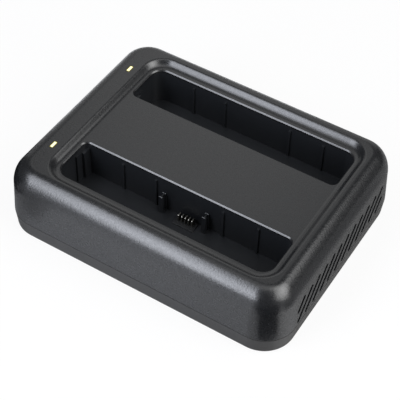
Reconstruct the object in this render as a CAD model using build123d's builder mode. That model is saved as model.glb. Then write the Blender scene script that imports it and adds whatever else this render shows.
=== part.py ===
from build123d import *
import os
from math import atan2, degrees, hypot

# A desktop charging dock with two long battery bays.
# Frame: millimetres, origin at the middle of the footprint on the surface that the feet rest on,
# +X towards the vented end, -Y the front, +Z up.

os.makedirs("parts", exist_ok=True)

# ---- Housing: outside -------------------------------------------------------------------------------
body_length = 241.4
body_depth = 189.2
shell_height = 59.5
corner_radius = 25.7
foot_stand = 0.8          # how far the feet hold the shell off the table
seam_rise = 14.0          # height of the seam above the shell's underside
draft_inset = 1.6         # how far the cover's wall leans in below the roll
roll_width = 13.8         # the rolled top edge, measured inwards
roll_height = 19.8        # and measured down
base_taper = 1.2          # how far the base narrows towards its underside
base_edge_radius = 1.0
seam_edge_radius = 0.45
seam_reveal = 0.5         # height of the groove along the seam, cut into the cover's foot
seam_reveal_depth = 0.9
wall = 2.5
lip_height = 3.0          # the base's lip that locates the cover
lip_wall = 1.2
lip_clearance = 0.45      # the cover's inside leans in, so the lip needs room at its top

# ---- Recess and bays --------------------------------------------------------------------------------
deck_drop = 4.5           # the deck lies this far below the rim's crest
recess_slope_width = 4.2
recess_low_radius = 5.5
recess_crest_radius = 2.9
recess_corner_radius = 14.0
ledge_end = 3.4           # deck left outside a bay's end
ledge_side = 5.2          # deck left outside a bay's long side
lamp_end_margin = 35.5    # from the housing's lamp end to the bays' ends
vent_end_margin = 25.9    # and at the vented end
bay_side_margin = 26.1    # from the housing's long sides to the bays
bay_gap = 61.8            # the deck between the two bays
bay_floor_height = 22.6   # above the shell's underside
bay_outer_radius = 10.0
bay_inner_radius = 5.0
bay_edge_chamfer = 0.9

# ---- Bay tubs ---------------------------------------------------------------------------------------
tub_wall = 2.0
tub_clearance = 0.1       # the tub's inside stands back this far from the deck's edge
flange_width = 3.0
flange_thickness = 1.6
key_shift = 2.9           # ribs and contacts are centred this far from the bay's middle
rib_width = 1.8
rib_depth = 1.3
rib_drop = 1.6            # ribs start this far below the flange
rib_inner_spacing = 58.2
rib_outer_spacing = 117.0
end_rib_width = 6.3
end_rib_depth = 1.5
corner_pad_width = 7.5    # a thicker pad fills the corner between the end rib and the bay's inner side
corner_pad_depth = 3.8
post_spacing = 37.4
post_height = 17.5
post_reach = 5.8
post_web = 1.2
post_flange_width = 3.2
post_flange_thickness = 1.1
post_chamfer = 0.45
ear_reach = 9.0
ear_thickness = 2.5
ear_width = 9.0
ear_inner_spacing = 120.0
ear_outer_spacing = 90.0

# ---- Contacts ---------------------------------------------------------------------------------------
contact_count = 5
contact_pitch = 2.9
contact_thickness = 0.75
contact_reach = 4.6       # length of a contact's blade across the bay
contact_height = 7.0      # above the bay's floor
contact_travel = 1.5
contact_nose_radius = 1.4
contact_offset = 3.9      # from the bay's inner side to the contacts' middle
foot_width = 2.3
foot_extra = 0.5          # the shoulders that keep a contact in its block
foot_height = 1.2
slot_clearance = 0.08
spring_radius = 0.9
spring_wire = 0.3
spring_length = 5.0
spring_coils = 5
block_margin = 2.2
block_proud = 0.9
block_roof = 2.4
block_offset = 5.1        # from the bay's inner side to the block's middle
block_depth = 9.4         # reach of the block across the bay
block_flange = 2.0
block_flange_thickness = 1.4
block_clearance = 0.15
board_thickness = 1.6
contact_board_length = 44.0
contact_board_width = 26.0
contact_board_margin = 1.0
contact_boss_spacing = 36.0
contact_boss_radius = 3.0

# ---- Vents ------------------------------------------------------------------------------------------
vent_count = 13
vent_pitch = 11.1
vent_slot_width = 3.8
vent_slant = 21.7         # how far a slot leans along the wall
vent_rise = 20.2
vent_low = 2.5            # lowest slot end above the seam

# ---- Status lamps -----------------------------------------------------------------------------------
lamp_length = 7.4
lamp_width = 3.4
lamp_spacing = 101.1
lamp_inset = 15.0         # from the bay's end to the lamp's middle
lamp_corner_radius = 1.4
lamp_clearance = 0.1
lamp_flange = 1.2
lamp_flange_thickness = 1.0
led_board_width = 11.0
led_board_length = 124.0
led_board_drop = 13.0     # from the crest to the board's top
led_length = 3.2
led_width = 2.4
led_height = 1.6
led_gap = 0.4
led_boss_radius = 3.0
led_screw_spacing = 60.0

# ---- Fasteners --------------------------------------------------------------------------------------
screw_radius = 1.5
screw_head_radius = 2.9
screw_head_height = 1.8
screw_hole_clearance = 0.2
screw_pilot_clearance = 0.05
cover_screw_length = 18.0
short_screw_length = 7.0
small_screw_radius = 1.1
small_head_radius = 2.0
small_head_height = 1.2
small_screw_length = 5.0
drive_width = 0.8
drive_depth = 0.9
drive_reach = 1.3         # length of a cross slot, over the head's radius
boss_radius = 4.2
corner_boss_inset = 17.2
side_boss_inset = 11.6
seat_height = 4.5         # depth of the screw pockets in the base, above its inner floor
small_boss_radius = 3.4
tub_boss_height = 7.0

# ---- Feet -------------------------------------------------------------------------------------------
rubber_foot_radius = 7.0
rubber_foot_seat = 0.8
rubber_foot_clearance = 0.3
rubber_foot_inset_x = 28.0
rubber_foot_inset_y = 27.0
rubber_foot_edge = 0.5

# ---- Main board -------------------------------------------------------------------------------------
board_lamp_gap = 5.8      # from the lamps' line to the board's end
board_vent_margin = 25.7  # from the board's other end to the housing's vented end
board_side_gap = 7.4      # from the board's long sides to the contact boards' headers
board_corner_radius = 1.0
board_standoff = 5.0
board_corner_inset = 4.5
standoff_radius = 3.6
sheet_thickness = 0.5
sheet_overhang = 3.0
part_gap = 3.0            # between neighbouring parts on the main board

fuse_length = 20.0
fuse_radius = 2.5
fuse_clip_length = 6.0
fuse_clip_wall = 0.8
fuse_lift = 1.5
fuse_clip_hold = 1.25     # the clips reach this far past the fuse's middle
choke_width = 22.0
choke_height = 20.0
choke_leg = 5.0
choke_winding = 2.8
winding_gap = 0.2
component_edge = 0.6
film_capacitor_length = 9.0
film_capacitor_width = 18.0
film_capacitor_height = 15.0
bridge_length = 4.0
bridge_width = 22.0
bridge_height = 15.0
bridge_corner = 1.2
bulk_capacitor_radius = 11.0
bulk_capacitor_height = 34.0
bulk_capacitor_groove = 0.8
bulk_capacitor_groove_rise = 2.5
transformer_length = 33.0
transformer_width = 28.0
transformer_height = 30.0
transformer_leg = 6.0
transformer_middle_leg = 9.0
transformer_core_depth = 13.0
transformer_winding_radius = 3.0
sink_thickness = 2.0
sink_fin_count = 4
sink_fin_spacing = 9.0
sink_fin_depth = 4.0
sink_fin_thickness = 1.2
sink_width = 34.0
sink_height = 26.0
transistor_width = 10.0
transistor_height = 15.0
transistor_thickness = 4.5
transistor_spacing = 16.0
transistor_lift = 4.0
transistor_lead_spacing = 2.5
lead_thickness = 0.7
output_capacitor_radius = 5.0
output_capacitor_height = 20.0
output_capacitor_spacing = 12.0
inductor_radius = 8.0
inductor_bore = 3.6
inductor_height = 8.0
inductor_spacing = 19.0
inductor_edge = 1.2
chip_length = 6.0
chip_width = 5.0
chip_height = 1.5
chip_spacing = 12.0
chip_count = 4
header_wall = 1.2
header_depth = 6.0
header_height = 5.0
contact_header_offset = 6.5   # from the contact board's middle towards the main board
terminal_depth = 9.0
terminal_height = 9.0
terminal_margin = 2.6

# ---- Mains inlet ------------------------------------------------------------------------------------
inlet_x = -58.0
inlet_middle = 27.5       # height of the inlet's middle above the table
inlet_width = 15.8
inlet_height = 8.4
inlet_depth = 14.0
inlet_wall = 2.0
inlet_corner_radius = 2.0
inlet_flange = 2.1
inlet_flange_thickness = 2.4
inlet_socket_depth = 11.0
inlet_pin_radius = 1.2
inlet_pin_spacing = 8.6
inlet_pin_length = 8.5
inlet_fit = 0.15
inlet_setback = 0.4       # the inlet's face stands back from the wall around it
cradle_width = 14.0
cradle_thickness = 3.0
cradle_offset = 4.7       # from the inlet's rear to the cradle's middle
tab_width = 2.8
tab_thickness = 0.8
tab_length = 5.0

# ---- Wiring -----------------------------------------------------------------------------------------
mains_wire_radius = 1.1
mains_wire_bend = 6.0
mains_wire_rise = 4.0     # height of the mains leads above the main board
light_wire_radius = 0.6
light_wire_pitch = 1.7
light_wire_rise = 2.2
lamp_wire_count = 3
lamp_wire_bend = 5.0

# ---- Levels and places worked out from the sizes above ----------------------------------------------
shell_bottom = foot_stand
seam_z = shell_bottom + seam_rise
crest_z = shell_bottom + shell_height
roll_z = crest_z - roll_height
deck_z = crest_z - deck_drop
deck_under = deck_z - wall
floor_z = shell_bottom + bay_floor_height
bay_depth = deck_z - floor_z
bay_length = body_length - lamp_end_margin - vent_end_margin
bay_width = (body_depth - bay_gap) / 2 - bay_side_margin
floor_under = floor_z - tub_wall
base_floor = shell_bottom + wall
lip_outer_inset = wall + lip_clearance
base_angle = degrees(atan2(base_taper, seam_rise))
recess_length = bay_length + 2 * ledge_end
recess_depth = bay_gap + 2 * bay_width + 2 * ledge_side
recess_angle = degrees(atan2(recess_slope_width, deck_drop))
bay_side = bay_gap / 2
bay_y = bay_side + bay_width / 2
bay_x = (lamp_end_margin - vent_end_margin) / 2
key_x = bay_x + key_shift
vent_angle = degrees(atan2(vent_rise, vent_slant))
ear_z = deck_under - tub_boss_height
rib_top = deck_under - flange_thickness - rib_drop

cover_boss_places = [
    (sx * (body_length / 2 - corner_boss_inset), sy * (body_depth / 2 - corner_boss_inset))
    for sx in (-1, 1)
    for sy in (-1, 1)
]
cover_boss_places += [(bay_x, sy * (body_depth / 2 - side_boss_inset)) for sy in (-1, 1)]
foot_places = [
    (sx * (body_length / 2 - rubber_foot_inset_x), sy * (body_depth / 2 - rubber_foot_inset_y))
    for sx in (-1, 1)
    for sy in (-1, 1)
]
ear_inner_y = bay_side - tub_clearance - tub_wall - ear_reach / 2
ear_outer_y = bay_side + bay_width + tub_clearance + tub_wall + ear_reach / 2
ear_places = [(bay_x + sx * ear_inner_spacing / 2, ear_inner_y) for sx in (-1, 1)]
ear_places += [(bay_x + sx * ear_outer_spacing / 2, ear_outer_y) for sx in (-1, 1)]
tub_boss_places = [(x, sy * y) for x, y in ear_places for sy in (-1, 1)]
lamp_x = bay_x - bay_length / 2 - lamp_inset
lamp_places = [(lamp_x, sy * lamp_spacing / 2) for sy in (-1, 1)]
led_board_top = crest_z - led_board_drop
led_boss_places = [(lamp_x, sy * led_screw_spacing / 2) for sy in (-1, 1)]
board_bottom = base_floor + board_standoff
board_top = board_bottom + board_thickness
contact_xs = [key_x + (index - (contact_count - 1) / 2) * contact_pitch for index in range(contact_count)]
contact_y = bay_side + contact_offset
block_top = floor_z + block_proud
shoulder_z = block_top - block_roof
foot_z = shoulder_z - foot_height
contact_board_top = foot_z - spring_length
contact_board_bottom = contact_board_top - board_thickness
contact_board_y = bay_side + contact_board_margin + contact_board_width / 2
contact_header_y = contact_board_y - contact_header_offset
contact_boss_places = [(key_x + side * contact_boss_spacing / 2, contact_board_y) for side in (-1, 1)]
block_y = bay_side + block_offset
block_length = (contact_count - 1) * contact_pitch + foot_width + 2 * block_margin
board_start = lamp_x + board_lamp_gap
board_end = body_length / 2 - board_vent_margin
board_x = (board_start + board_end) / 2
board_length = board_end - board_start
board_width = 2 * (contact_header_y - header_depth / 2 - board_side_gap)
standoff_places = [
    (board_x + sx * (board_length / 2 - board_corner_inset), sy * (board_width / 2 - board_corner_inset))
    for sx in (-1, 1)
    for sy in (-1, 1)
]
choke_length = choke_leg + 2 * choke_winding
inlet_outer_width = inlet_width + 2 * inlet_wall
inlet_outer_height = inlet_height + 2 * inlet_wall
inlet_top = inlet_middle + inlet_outer_height / 2
inlet_front = body_depth / 2 - inlet_setback - draft_inset * (inlet_top - seam_z) / (roll_z - seam_z)
inlet_rear = inlet_front - inlet_depth
cradle_top = inlet_middle - inlet_outer_height / 2
inlet_plane = Plane(origin=(inlet_x, inlet_front, inlet_middle), x_dir=(-1, 0, 0), z_dir=(0, 1, 0))


def save(part, name):
    """Label a finished sub-part and write its STEP file."""
    part.label = name
    export_step(part, "parts/" + name + ".step")
    print(name, round(part.volume, 1), part.is_valid)


def plan_route(length, depth, radius, z):
    """Closed line round a rounded rectangle, from the middle of its front side."""
    straight_x = length / 2 - radius
    straight_y = depth / 2 - radius
    with BuildLine(Plane.XY.offset(z)) as route:
        start = Line((0, -depth / 2), (straight_x, -depth / 2))
        right_front = TangentArc(start @ 1, (length / 2, -straight_y), tangent=start % 1)
        right = Line(right_front @ 1, (length / 2, straight_y))
        right_back = TangentArc(right @ 1, (straight_x, depth / 2), tangent=right % 1)
        back = Line(right_back @ 1, (-straight_x, depth / 2))
        left_back = TangentArc(back @ 1, (-length / 2, straight_y), tangent=back % 1)
        left = Line(left_back @ 1, (-length / 2, -straight_y))
        left_front = TangentArc(left @ 1, (-straight_x, -depth / 2), tangent=left % 1)
        Line(left_front @ 1, start @ 0)
    return route.line


def cover_envelope(inset):
    """Outside of the cover, seam to crest, moved in by inset: a leaning wall under an elliptical roll."""
    depth = body_depth - 2 * inset
    length = body_length - 2 * inset
    radius = corner_radius - inset
    top = crest_z - inset
    waste_width = 1.0
    foot = (-depth / 2, seam_z)
    knee = (-depth / 2 + draft_inset, roll_z)
    shoulder = (-depth / 2 + draft_inset + roll_width - inset, top)
    with BuildPart() as envelope:
        with BuildSketch(Plane.XY.offset(seam_z)):
            RectangleRounded(length, depth, radius)
        extrude(amount=top - seam_z)
        with BuildSketch(Plane.YZ) as waste:
            with BuildLine():
                Line(foot, knee)
                EllipticalCenterArc(
                    (shoulder[0], knee[1]), shoulder[0] - knee[0], top - roll_z, start_angle=90, arc_size=90
                )
                Polyline(
                    shoulder,
                    (shoulder[0], top + waste_width),
                    (foot[0] - waste_width, top + waste_width),
                    (foot[0] - waste_width, seam_z),
                    foot,
                )
            make_face()
        sweep(sections=waste.sketch, path=plan_route(length, depth, radius, seam_z), mode=Mode.SUBTRACT)
    return envelope.part


def bay_outline(grow):
    """Sketch of the rear bay's plan, grown outwards: wide corners outside, tight ones inside."""
    with BuildSketch(mode=Mode.PRIVATE) as outline:
        with Locations((bay_x, bay_y)):
            Rectangle(bay_length + 2 * grow, bay_width + 2 * grow)
        fillet(outline.vertices().group_by(Axis.Y)[0], bay_inner_radius + grow)
        fillet(outline.vertices().group_by(Axis.Y)[-1], bay_outer_radius + grow)
    return outline.sketch


def vent_slots():
    """Middle (Y, Z) and length of each vent slot."""
    low = seam_z + vent_low
    high = low + vent_rise
    first_top = vent_slant / 2 - (vent_count - 1) / 2 * vent_pitch
    near_end = first_top + vent_pitch - vent_slant
    far_end = -near_end
    slots = []
    for index in range(vent_count):
        top_y = first_top + index * vent_pitch
        start = max(top_y - vent_slant, near_end)
        end = min(top_y, far_end)
        share = (end - start) / vent_slant
        start_z = high - (top_y - start) / vent_slant * vent_rise
        middle = ((start + end) / 2, start_z + share * vent_rise / 2)
        slots.append((middle, share * hypot(vent_slant, vent_rise)))
    return slots


# ---- Top cover --------------------------------------------------------------------------------------
with BuildPart() as cavity:
    add(cover_envelope(wall))
    with BuildSketch(Plane.XY.offset(deck_under)):
        with Locations((bay_x, 0)):
            RectangleRounded(recess_length + wall, recess_depth + wall, recess_corner_radius)
    extrude(amount=deck_drop + wall, taper=-recess_angle, mode=Mode.SUBTRACT)

with BuildPart() as bosses:
    add(cover_envelope(wall / 2))
    with BuildSketch(Plane.XY.offset(seam_z)):
        with Locations(*cover_boss_places):
            Circle(boss_radius)
        with Locations(*tub_boss_places):
            Circle(small_boss_radius)
        with Locations(*led_boss_places):
            Circle(led_boss_radius)
    extrude(amount=shell_height, mode=Mode.INTERSECT)
    with BuildSketch(Plane.XY.offset(seam_z)):
        with Locations(*tub_boss_places):
            Circle(small_boss_radius + lip_clearance)
    extrude(amount=ear_z - seam_z, mode=Mode.SUBTRACT)
    with BuildSketch(Plane.XY.offset(seam_z)):
        with Locations(*led_boss_places):
            Circle(led_boss_radius + lip_clearance)
    extrude(amount=led_board_top - seam_z, mode=Mode.SUBTRACT)

with BuildPart() as top_cover:
    add(cover_envelope(0))
    with BuildSketch(Plane.XY.offset(seam_z)):
        Rectangle(body_length, body_depth)
        RectangleRounded(
            body_length - 2 * seam_reveal_depth,
            body_depth - 2 * seam_reveal_depth,
            corner_radius - seam_reveal_depth,
            mode=Mode.SUBTRACT,
        )
    extrude(amount=seam_reveal, mode=Mode.SUBTRACT)
    add(cavity.part, mode=Mode.SUBTRACT)
    add(bosses.part)
    with BuildSketch(Plane.XY.offset(deck_z)):
        with Locations((bay_x, 0)):
            RectangleRounded(recess_length, recess_depth, recess_corner_radius)
    extrude(amount=deck_drop, taper=-recess_angle, mode=Mode.SUBTRACT)
    fillet(top_cover.edges(Select.LAST).group_by(Axis.Z)[-1], recess_crest_radius)
    fillet(top_cover.edges().filter_by_position(Axis.Z, deck_z - 0.01, deck_z + 0.01), recess_low_radius)
    with BuildSketch(Plane.XY.offset(deck_z)):
        add(bay_outline(0))
        mirror(about=Plane.XZ)
    extrude(amount=-wall, mode=Mode.SUBTRACT)
    chamfer(top_cover.edges(Select.LAST).group_by(Axis.Z)[-1], bay_edge_chamfer)
    # pilot holes for the screws that come up from below
    with BuildSketch(Plane.XY.offset(seam_z)):
        with Locations(*cover_boss_places):
            Circle(screw_radius + screw_pilot_clearance)
    extrude(amount=cover_screw_length, mode=Mode.SUBTRACT)
    with BuildSketch(Plane.XY.offset(ear_z)):
        with Locations(*tub_boss_places):
            Circle(screw_radius + screw_pilot_clearance)
    extrude(amount=short_screw_length, mode=Mode.SUBTRACT)
    with BuildSketch(Plane.XY.offset(led_board_top)):
        with Locations(*led_boss_places):
            Circle(small_screw_radius + screw_pilot_clearance)
    extrude(amount=small_screw_length, mode=Mode.SUBTRACT)
    # windows for the status lamps
    with BuildSketch(Plane.XY.offset(led_board_top)):
        with Locations(*lamp_places):
            RectangleRounded(
                lamp_width + 2 * lamp_clearance, lamp_length + 2 * lamp_clearance, lamp_corner_radius
            )
    extrude(amount=2 * led_board_drop, mode=Mode.SUBTRACT)
    # the way through the back wall for the mains inlet
    with BuildSketch(inlet_plane.offset(inlet_setback + draft_inset)):
        RectangleRounded(
            inlet_outer_width + 2 * inlet_fit,
            inlet_outer_height + 2 * inlet_fit,
            inlet_corner_radius + inlet_fit,
        )
    extrude(amount=-inlet_depth, mode=Mode.SUBTRACT)
    # slanting vents through the end wall, the first and last cut short by the pattern's upright ends
    with BuildSketch(Plane.YZ.offset(body_length / 2 - roll_width)):
        for place, length in vent_slots():
            with Locations(place):
                SlotOverall(length, vent_slot_width, rotation=vent_angle)
    extrude(amount=roll_width, mode=Mode.SUBTRACT)
save(top_cover.part, "top_cover")


# ---- Base -------------------------------------------------------------------------------------------
def base_ring(inset, low, high):
    """Solid rounded plan between two heights, its sides moved in by inset from the seam's outline."""
    with BuildPart() as ring:
        with BuildSketch(Plane.XY.offset(low)):
            RectangleRounded(body_length - 2 * inset, body_depth - 2 * inset, corner_radius - inset)
        extrude(amount=high - low)
    return ring.part


def base_envelope(inset, low):
    """Outside of the base moved in by inset: it narrows from the seam towards its underside."""
    low_inset = inset + base_taper * (seam_z - low) / seam_rise
    with BuildPart() as envelope:
        with BuildSketch(Plane.XY.offset(low)):
            RectangleRounded(
                body_length - 2 * low_inset, body_depth - 2 * low_inset, corner_radius - low_inset
            )
        extrude(amount=seam_z - low, taper=-base_angle)
    return envelope.part


with BuildPart() as bottom_base:
    add(base_envelope(0, shell_bottom))
    fillet(bottom_base.edges().group_by(Axis.Z)[0], base_edge_radius)
    fillet(bottom_base.edges().group_by(Axis.Z)[-1], seam_edge_radius)
    add(base_envelope(wall, base_floor), mode=Mode.SUBTRACT)
    add(base_ring(wall / 2, seam_z - lip_height, seam_z - seam_edge_radius))
    add(base_ring(lip_outer_inset, seam_z - lip_height, seam_z + lip_height))
    add(base_ring(lip_outer_inset + lip_wall, seam_z - lip_height, seam_z + lip_height), mode=Mode.SUBTRACT)
    with BuildSketch(Plane.XY.offset(base_floor)):
        with Locations(*cover_boss_places):
            Circle(boss_radius)
    extrude(amount=seam_z - base_floor)
    with BuildSketch(Plane.XY.offset(base_floor)):
        with Locations(*standoff_places):
            Circle(standoff_radius)
    extrude(amount=board_standoff)
    with BuildSketch(Plane.XY.offset(base_floor)):
        with Locations((inlet_x, inlet_rear + cradle_offset)):
            Rectangle(cradle_width, cradle_thickness)
    extrude(amount=cradle_top - base_floor)
    # screw holes with deep pockets for the heads
    with BuildSketch(Plane.XY.offset(shell_bottom)):
        with Locations(*cover_boss_places):
            Circle(screw_radius + screw_hole_clearance)
    extrude(amount=seam_rise, mode=Mode.SUBTRACT)
    with BuildSketch(Plane.XY.offset(shell_bottom)):
        with Locations(*cover_boss_places):
            Circle(screw_head_radius + screw_hole_clearance)
    extrude(amount=wall + seat_height, mode=Mode.SUBTRACT)
    with BuildSketch(Plane.XY.offset(shell_bottom)):
        with Locations(*foot_places):
            Circle(rubber_foot_radius + rubber_foot_clearance)
    extrude(amount=rubber_foot_seat, mode=Mode.SUBTRACT)
    with BuildSketch(Plane.XY.offset(board_bottom)):
        with Locations(*standoff_places):
            Circle(small_screw_radius + screw_pilot_clearance)
    extrude(amount=-small_screw_length, mode=Mode.SUBTRACT)
save(bottom_base.part, "bottom_base")

with BuildPart() as rubber_feet:
    with BuildSketch():
        with Locations(*foot_places):
            Circle(rubber_foot_radius)
    extrude(amount=foot_stand + rubber_foot_seat)
    fillet(rubber_feet.edges().group_by(Axis.Z)[0], rubber_foot_edge)
save(rubber_feet.part, "rubber_feet")


# ---- Bay tubs ---------------------------------------------------------------------------------------
with BuildPart() as rear_bay_tub:
    with BuildSketch(Plane.XY.offset(floor_under)):
        add(bay_outline(tub_clearance + tub_wall))
    extrude(amount=deck_under - floor_under)
    with BuildSketch(Plane.XY.offset(deck_under)):
        add(bay_outline(tub_clearance + tub_wall + flange_width))
    extrude(amount=-flange_thickness)
    with BuildSketch(Plane.XY.offset(ear_z)):
        with Locations(*ear_places):
            Rectangle(ear_width, ear_reach + tub_wall)
    extrude(amount=-ear_thickness)
    with BuildSketch(Plane.XY.offset(ear_z)):
        with Locations(*ear_places):
            Circle(small_boss_radius + screw_hole_clearance)
    extrude(amount=tub_boss_height, mode=Mode.SUBTRACT)
    with BuildSketch(Plane.XY.offset(ear_z)):
        with Locations(*ear_places):
            Circle(screw_radius + screw_hole_clearance)
    extrude(amount=-ear_thickness, mode=Mode.SUBTRACT)
    with BuildSketch(Plane.XY.offset(floor_z)):
        add(bay_outline(tub_clearance))
    extrude(amount=bay_depth, mode=Mode.SUBTRACT)
    # slim locating ribs on both long walls
    with BuildSketch(Plane.XY.offset(floor_z)):
        for wall_y in (bay_side - tub_clearance, bay_side + bay_width + tub_clearance):
            with Locations((key_x, wall_y)):
                with GridLocations(rib_inner_spacing, 0, 2, 1):
                    Rectangle(rib_width, 2 * rib_depth)
                with GridLocations(rib_outer_spacing, 0, 2, 1):
                    Rectangle(rib_width, 2 * rib_depth)
    extrude(amount=rib_top - floor_z)
    # stepped rib on the lamp end's wall, thicker towards the bay's inner corner
    with BuildSketch(Plane.XY.offset(floor_z)):
        with Locations((bay_x - bay_length / 2 - tub_clearance, bay_side - tub_clearance)):
            Rectangle(corner_pad_depth, corner_pad_width, align=Align.MIN)
            Rectangle(end_rib_depth, corner_pad_width + end_rib_width, align=Align.MIN)
    extrude(amount=rib_top - floor_z)
    # two guide posts of I section beside the contacts
    with BuildSketch(Plane.XY.offset(floor_z)):
        for side in (-1, 1):
            with Locations((bay_x + side * post_spacing / 2, bay_side)):
                Rectangle(post_web, post_reach, align=(Align.CENTER, Align.MIN))
                Rectangle(post_flange_width, post_flange_thickness, align=(Align.CENTER, Align.MIN))
            with Locations((bay_x + side * post_spacing / 2, bay_side + post_reach)):
                Rectangle(post_flange_width, post_flange_thickness, align=(Align.CENTER, Align.MAX))
    extrude(amount=post_height)
    post_tops = rear_bay_tub.edges(Select.LAST).group_by(Axis.Z)[-1]
    chamfer(post_tops, post_chamfer)
    # bosses for the contact board and the way through for the contact block
    with BuildSketch(Plane.XY.offset(floor_under)):
        with Locations(*contact_boss_places):
            Circle(contact_boss_radius)
    extrude(amount=contact_board_top - floor_under)
    with BuildSketch(Plane.XY.offset(contact_board_top)):
        with Locations(*contact_boss_places):
            Circle(small_screw_radius + screw_pilot_clearance)
    extrude(amount=small_screw_length, mode=Mode.SUBTRACT)
    with BuildSketch(Plane.XY.offset(floor_z)):
        with Locations((key_x, block_y)):
            Rectangle(block_length + 2 * block_clearance, block_depth + 2 * block_clearance)
    extrude(amount=-tub_wall, mode=Mode.SUBTRACT)
save(rear_bay_tub.part, "rear_bay_tub")

with BuildPart() as front_bay_tub:
    mirror(rear_bay_tub.part, about=Plane.XZ)
save(front_bay_tub.part, "front_bay_tub")


# ---- Contacts, their blocks and boards --------------------------------------------------------------
def contact(x):
    """One sprung contact of the rear bay: an upright blade with a rounded nose on a shouldered foot."""
    blade_bottom = foot_z + foot_height
    blade_top = floor_z + contact_height
    with BuildPart() as blade:
        with BuildSketch(Plane.YZ.offset(x - contact_thickness / 2)):
            with Locations((contact_y, (blade_bottom + blade_top) / 2)):
                corners = Rectangle(contact_reach, blade_top - blade_bottom).vertices()
            fillet(corners.group_by(Axis.Z)[-1], contact_nose_radius)
        extrude(amount=contact_thickness)
        with BuildSketch(Plane.XY.offset(foot_z)):
            with Locations((x, contact_y)):
                Rectangle(foot_width, contact_reach + 2 * foot_extra)
        extrude(amount=foot_height)
    return blade.part


def spring(x):
    """Coil spring under one contact of the rear bay, with its wire's ends cut flat."""
    pitch = (spring_length - spring_wire) / spring_coils
    with BuildPart() as coil:
        with BuildLine(Plane((x, contact_y, contact_board_top + spring_wire / 2))) as helix:
            Helix(pitch, spring_length - spring_wire, spring_radius - spring_wire / 2)
        with BuildSketch(Plane(origin=helix.line @ 0, z_dir=helix.line % 0)):
            Circle(spring_wire / 2)
        sweep(path=helix.line, is_frenet=True)
    return coil.part


with BuildPart() as rear_contact_block:
    with BuildSketch(Plane.XY.offset(contact_board_top)):
        with Locations((key_x, block_y)):
            Rectangle(block_length, block_depth)
    extrude(amount=block_top - contact_board_top)
    chamfer(rear_contact_block.edges().group_by(Axis.Z)[-1], block_proud / 2)
    with BuildSketch(Plane.XY.offset(floor_under)):
        with Locations((key_x, block_y)):
            Rectangle(block_length + 2 * block_flange, block_depth + 2 * block_flange)
    extrude(amount=-block_flange_thickness)
    with BuildSketch(Plane.XY.offset(contact_board_top)):
        with Locations(*[(x, contact_y) for x in contact_xs]):
            Rectangle(foot_width + 2 * slot_clearance, contact_reach + 2 * (foot_extra + slot_clearance))
    extrude(amount=shoulder_z - contact_board_top, mode=Mode.SUBTRACT)
    with BuildSketch(Plane.XY.offset(shoulder_z)):
        with Locations(*[(x, contact_y) for x in contact_xs]):
            Rectangle(contact_thickness + 2 * slot_clearance, contact_reach + 2 * slot_clearance)
    extrude(amount=block_roof, mode=Mode.SUBTRACT)
save(rear_contact_block.part, "rear_contact_block")

with BuildPart() as rear_contact_board:
    with BuildSketch(Plane.XY.offset(contact_board_top)):
        with Locations((key_x, contact_board_y)):
            RectangleRounded(contact_board_length, contact_board_width, board_corner_radius)
        with Locations(*contact_boss_places):
            Circle(small_screw_radius + screw_hole_clearance, mode=Mode.SUBTRACT)
    extrude(amount=-board_thickness)
save(rear_contact_board.part, "rear_contact_board")

with BuildPart() as front_contact_block:
    mirror(rear_contact_block.part, about=Plane.XZ)
save(front_contact_block.part, "front_contact_block")

with BuildPart() as front_contact_board:
    mirror(rear_contact_board.part, about=Plane.XZ)
save(front_contact_board.part, "front_contact_board")

for number, x in enumerate(contact_xs, start=1):
    rear_contact = contact(x)
    rear_spring = spring(x)
    save(rear_contact, "rear_contact_" + str(number))
    save(rear_spring, "rear_contact_spring_" + str(number))
    save(mirror(rear_contact, about=Plane.XZ), "front_contact_" + str(number))
    save(mirror(rear_spring, about=Plane.XZ), "front_contact_spring_" + str(number))


# ---- Status lamps -----------------------------------------------------------------------------------
led_top = led_board_top + led_height
roof_under = crest_z - wall


def light_pipe(place):
    """Clear pipe from just above a lamp to the rim's window, held by a flange under the rim."""
    with BuildPart() as pipe:
        with BuildSketch(Plane.XY.offset(led_top + led_gap)):
            with Locations(place):
                RectangleRounded(lamp_width, lamp_length, lamp_corner_radius)
        extrude(amount=crest_z - led_top - led_gap)
        with BuildSketch(Plane.XY.offset(roof_under)):
            with Locations(place):
                RectangleRounded(
                    lamp_width + 2 * lamp_flange, lamp_length + 2 * lamp_flange, lamp_corner_radius
                )
        extrude(amount=-lamp_flange_thickness)
    return pipe.part


save(light_pipe(lamp_places[0]), "front_light_pipe")
save(light_pipe(lamp_places[1]), "rear_light_pipe")

with BuildPart() as led_board:
    with BuildSketch(Plane.XY.offset(led_board_top)):
        with Locations((lamp_x, 0)):
            RectangleRounded(led_board_width, led_board_length, board_corner_radius)
        with Locations(*led_boss_places):
            Circle(small_screw_radius + screw_hole_clearance, mode=Mode.SUBTRACT)
    extrude(amount=-board_thickness)
save(led_board.part, "led_board")

with BuildPart() as status_leds:
    with BuildSketch(Plane.XY.offset(led_board_top)):
        with Locations(*lamp_places):
            Rectangle(led_width, led_length)
    extrude(amount=led_height)
save(status_leds.part, "status_leds")


# ---- Screws -----------------------------------------------------------------------------------------
def screws(places, seat, length, radius, head_radius, head_height, upwards=True):
    """A group of pan-head screws with cross slots; seat is the height of the face under their heads."""
    way = 1 if upwards else -1
    with BuildPart() as group:
        with BuildSketch(Plane.XY.offset(seat)):
            with Locations(*places):
                Circle(radius)
        extrude(amount=way * length)
        with BuildSketch(Plane.XY.offset(seat)):
            with Locations(*places):
                Circle(head_radius)
        extrude(amount=-way * head_height)
        with BuildSketch(Plane.XY.offset(seat - way * head_height)):
            with Locations(*places):
                Rectangle(drive_width, drive_reach * head_radius)
                Rectangle(drive_reach * head_radius, drive_width)
        extrude(amount=way * drive_depth, mode=Mode.SUBTRACT)
    return group.part


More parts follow.
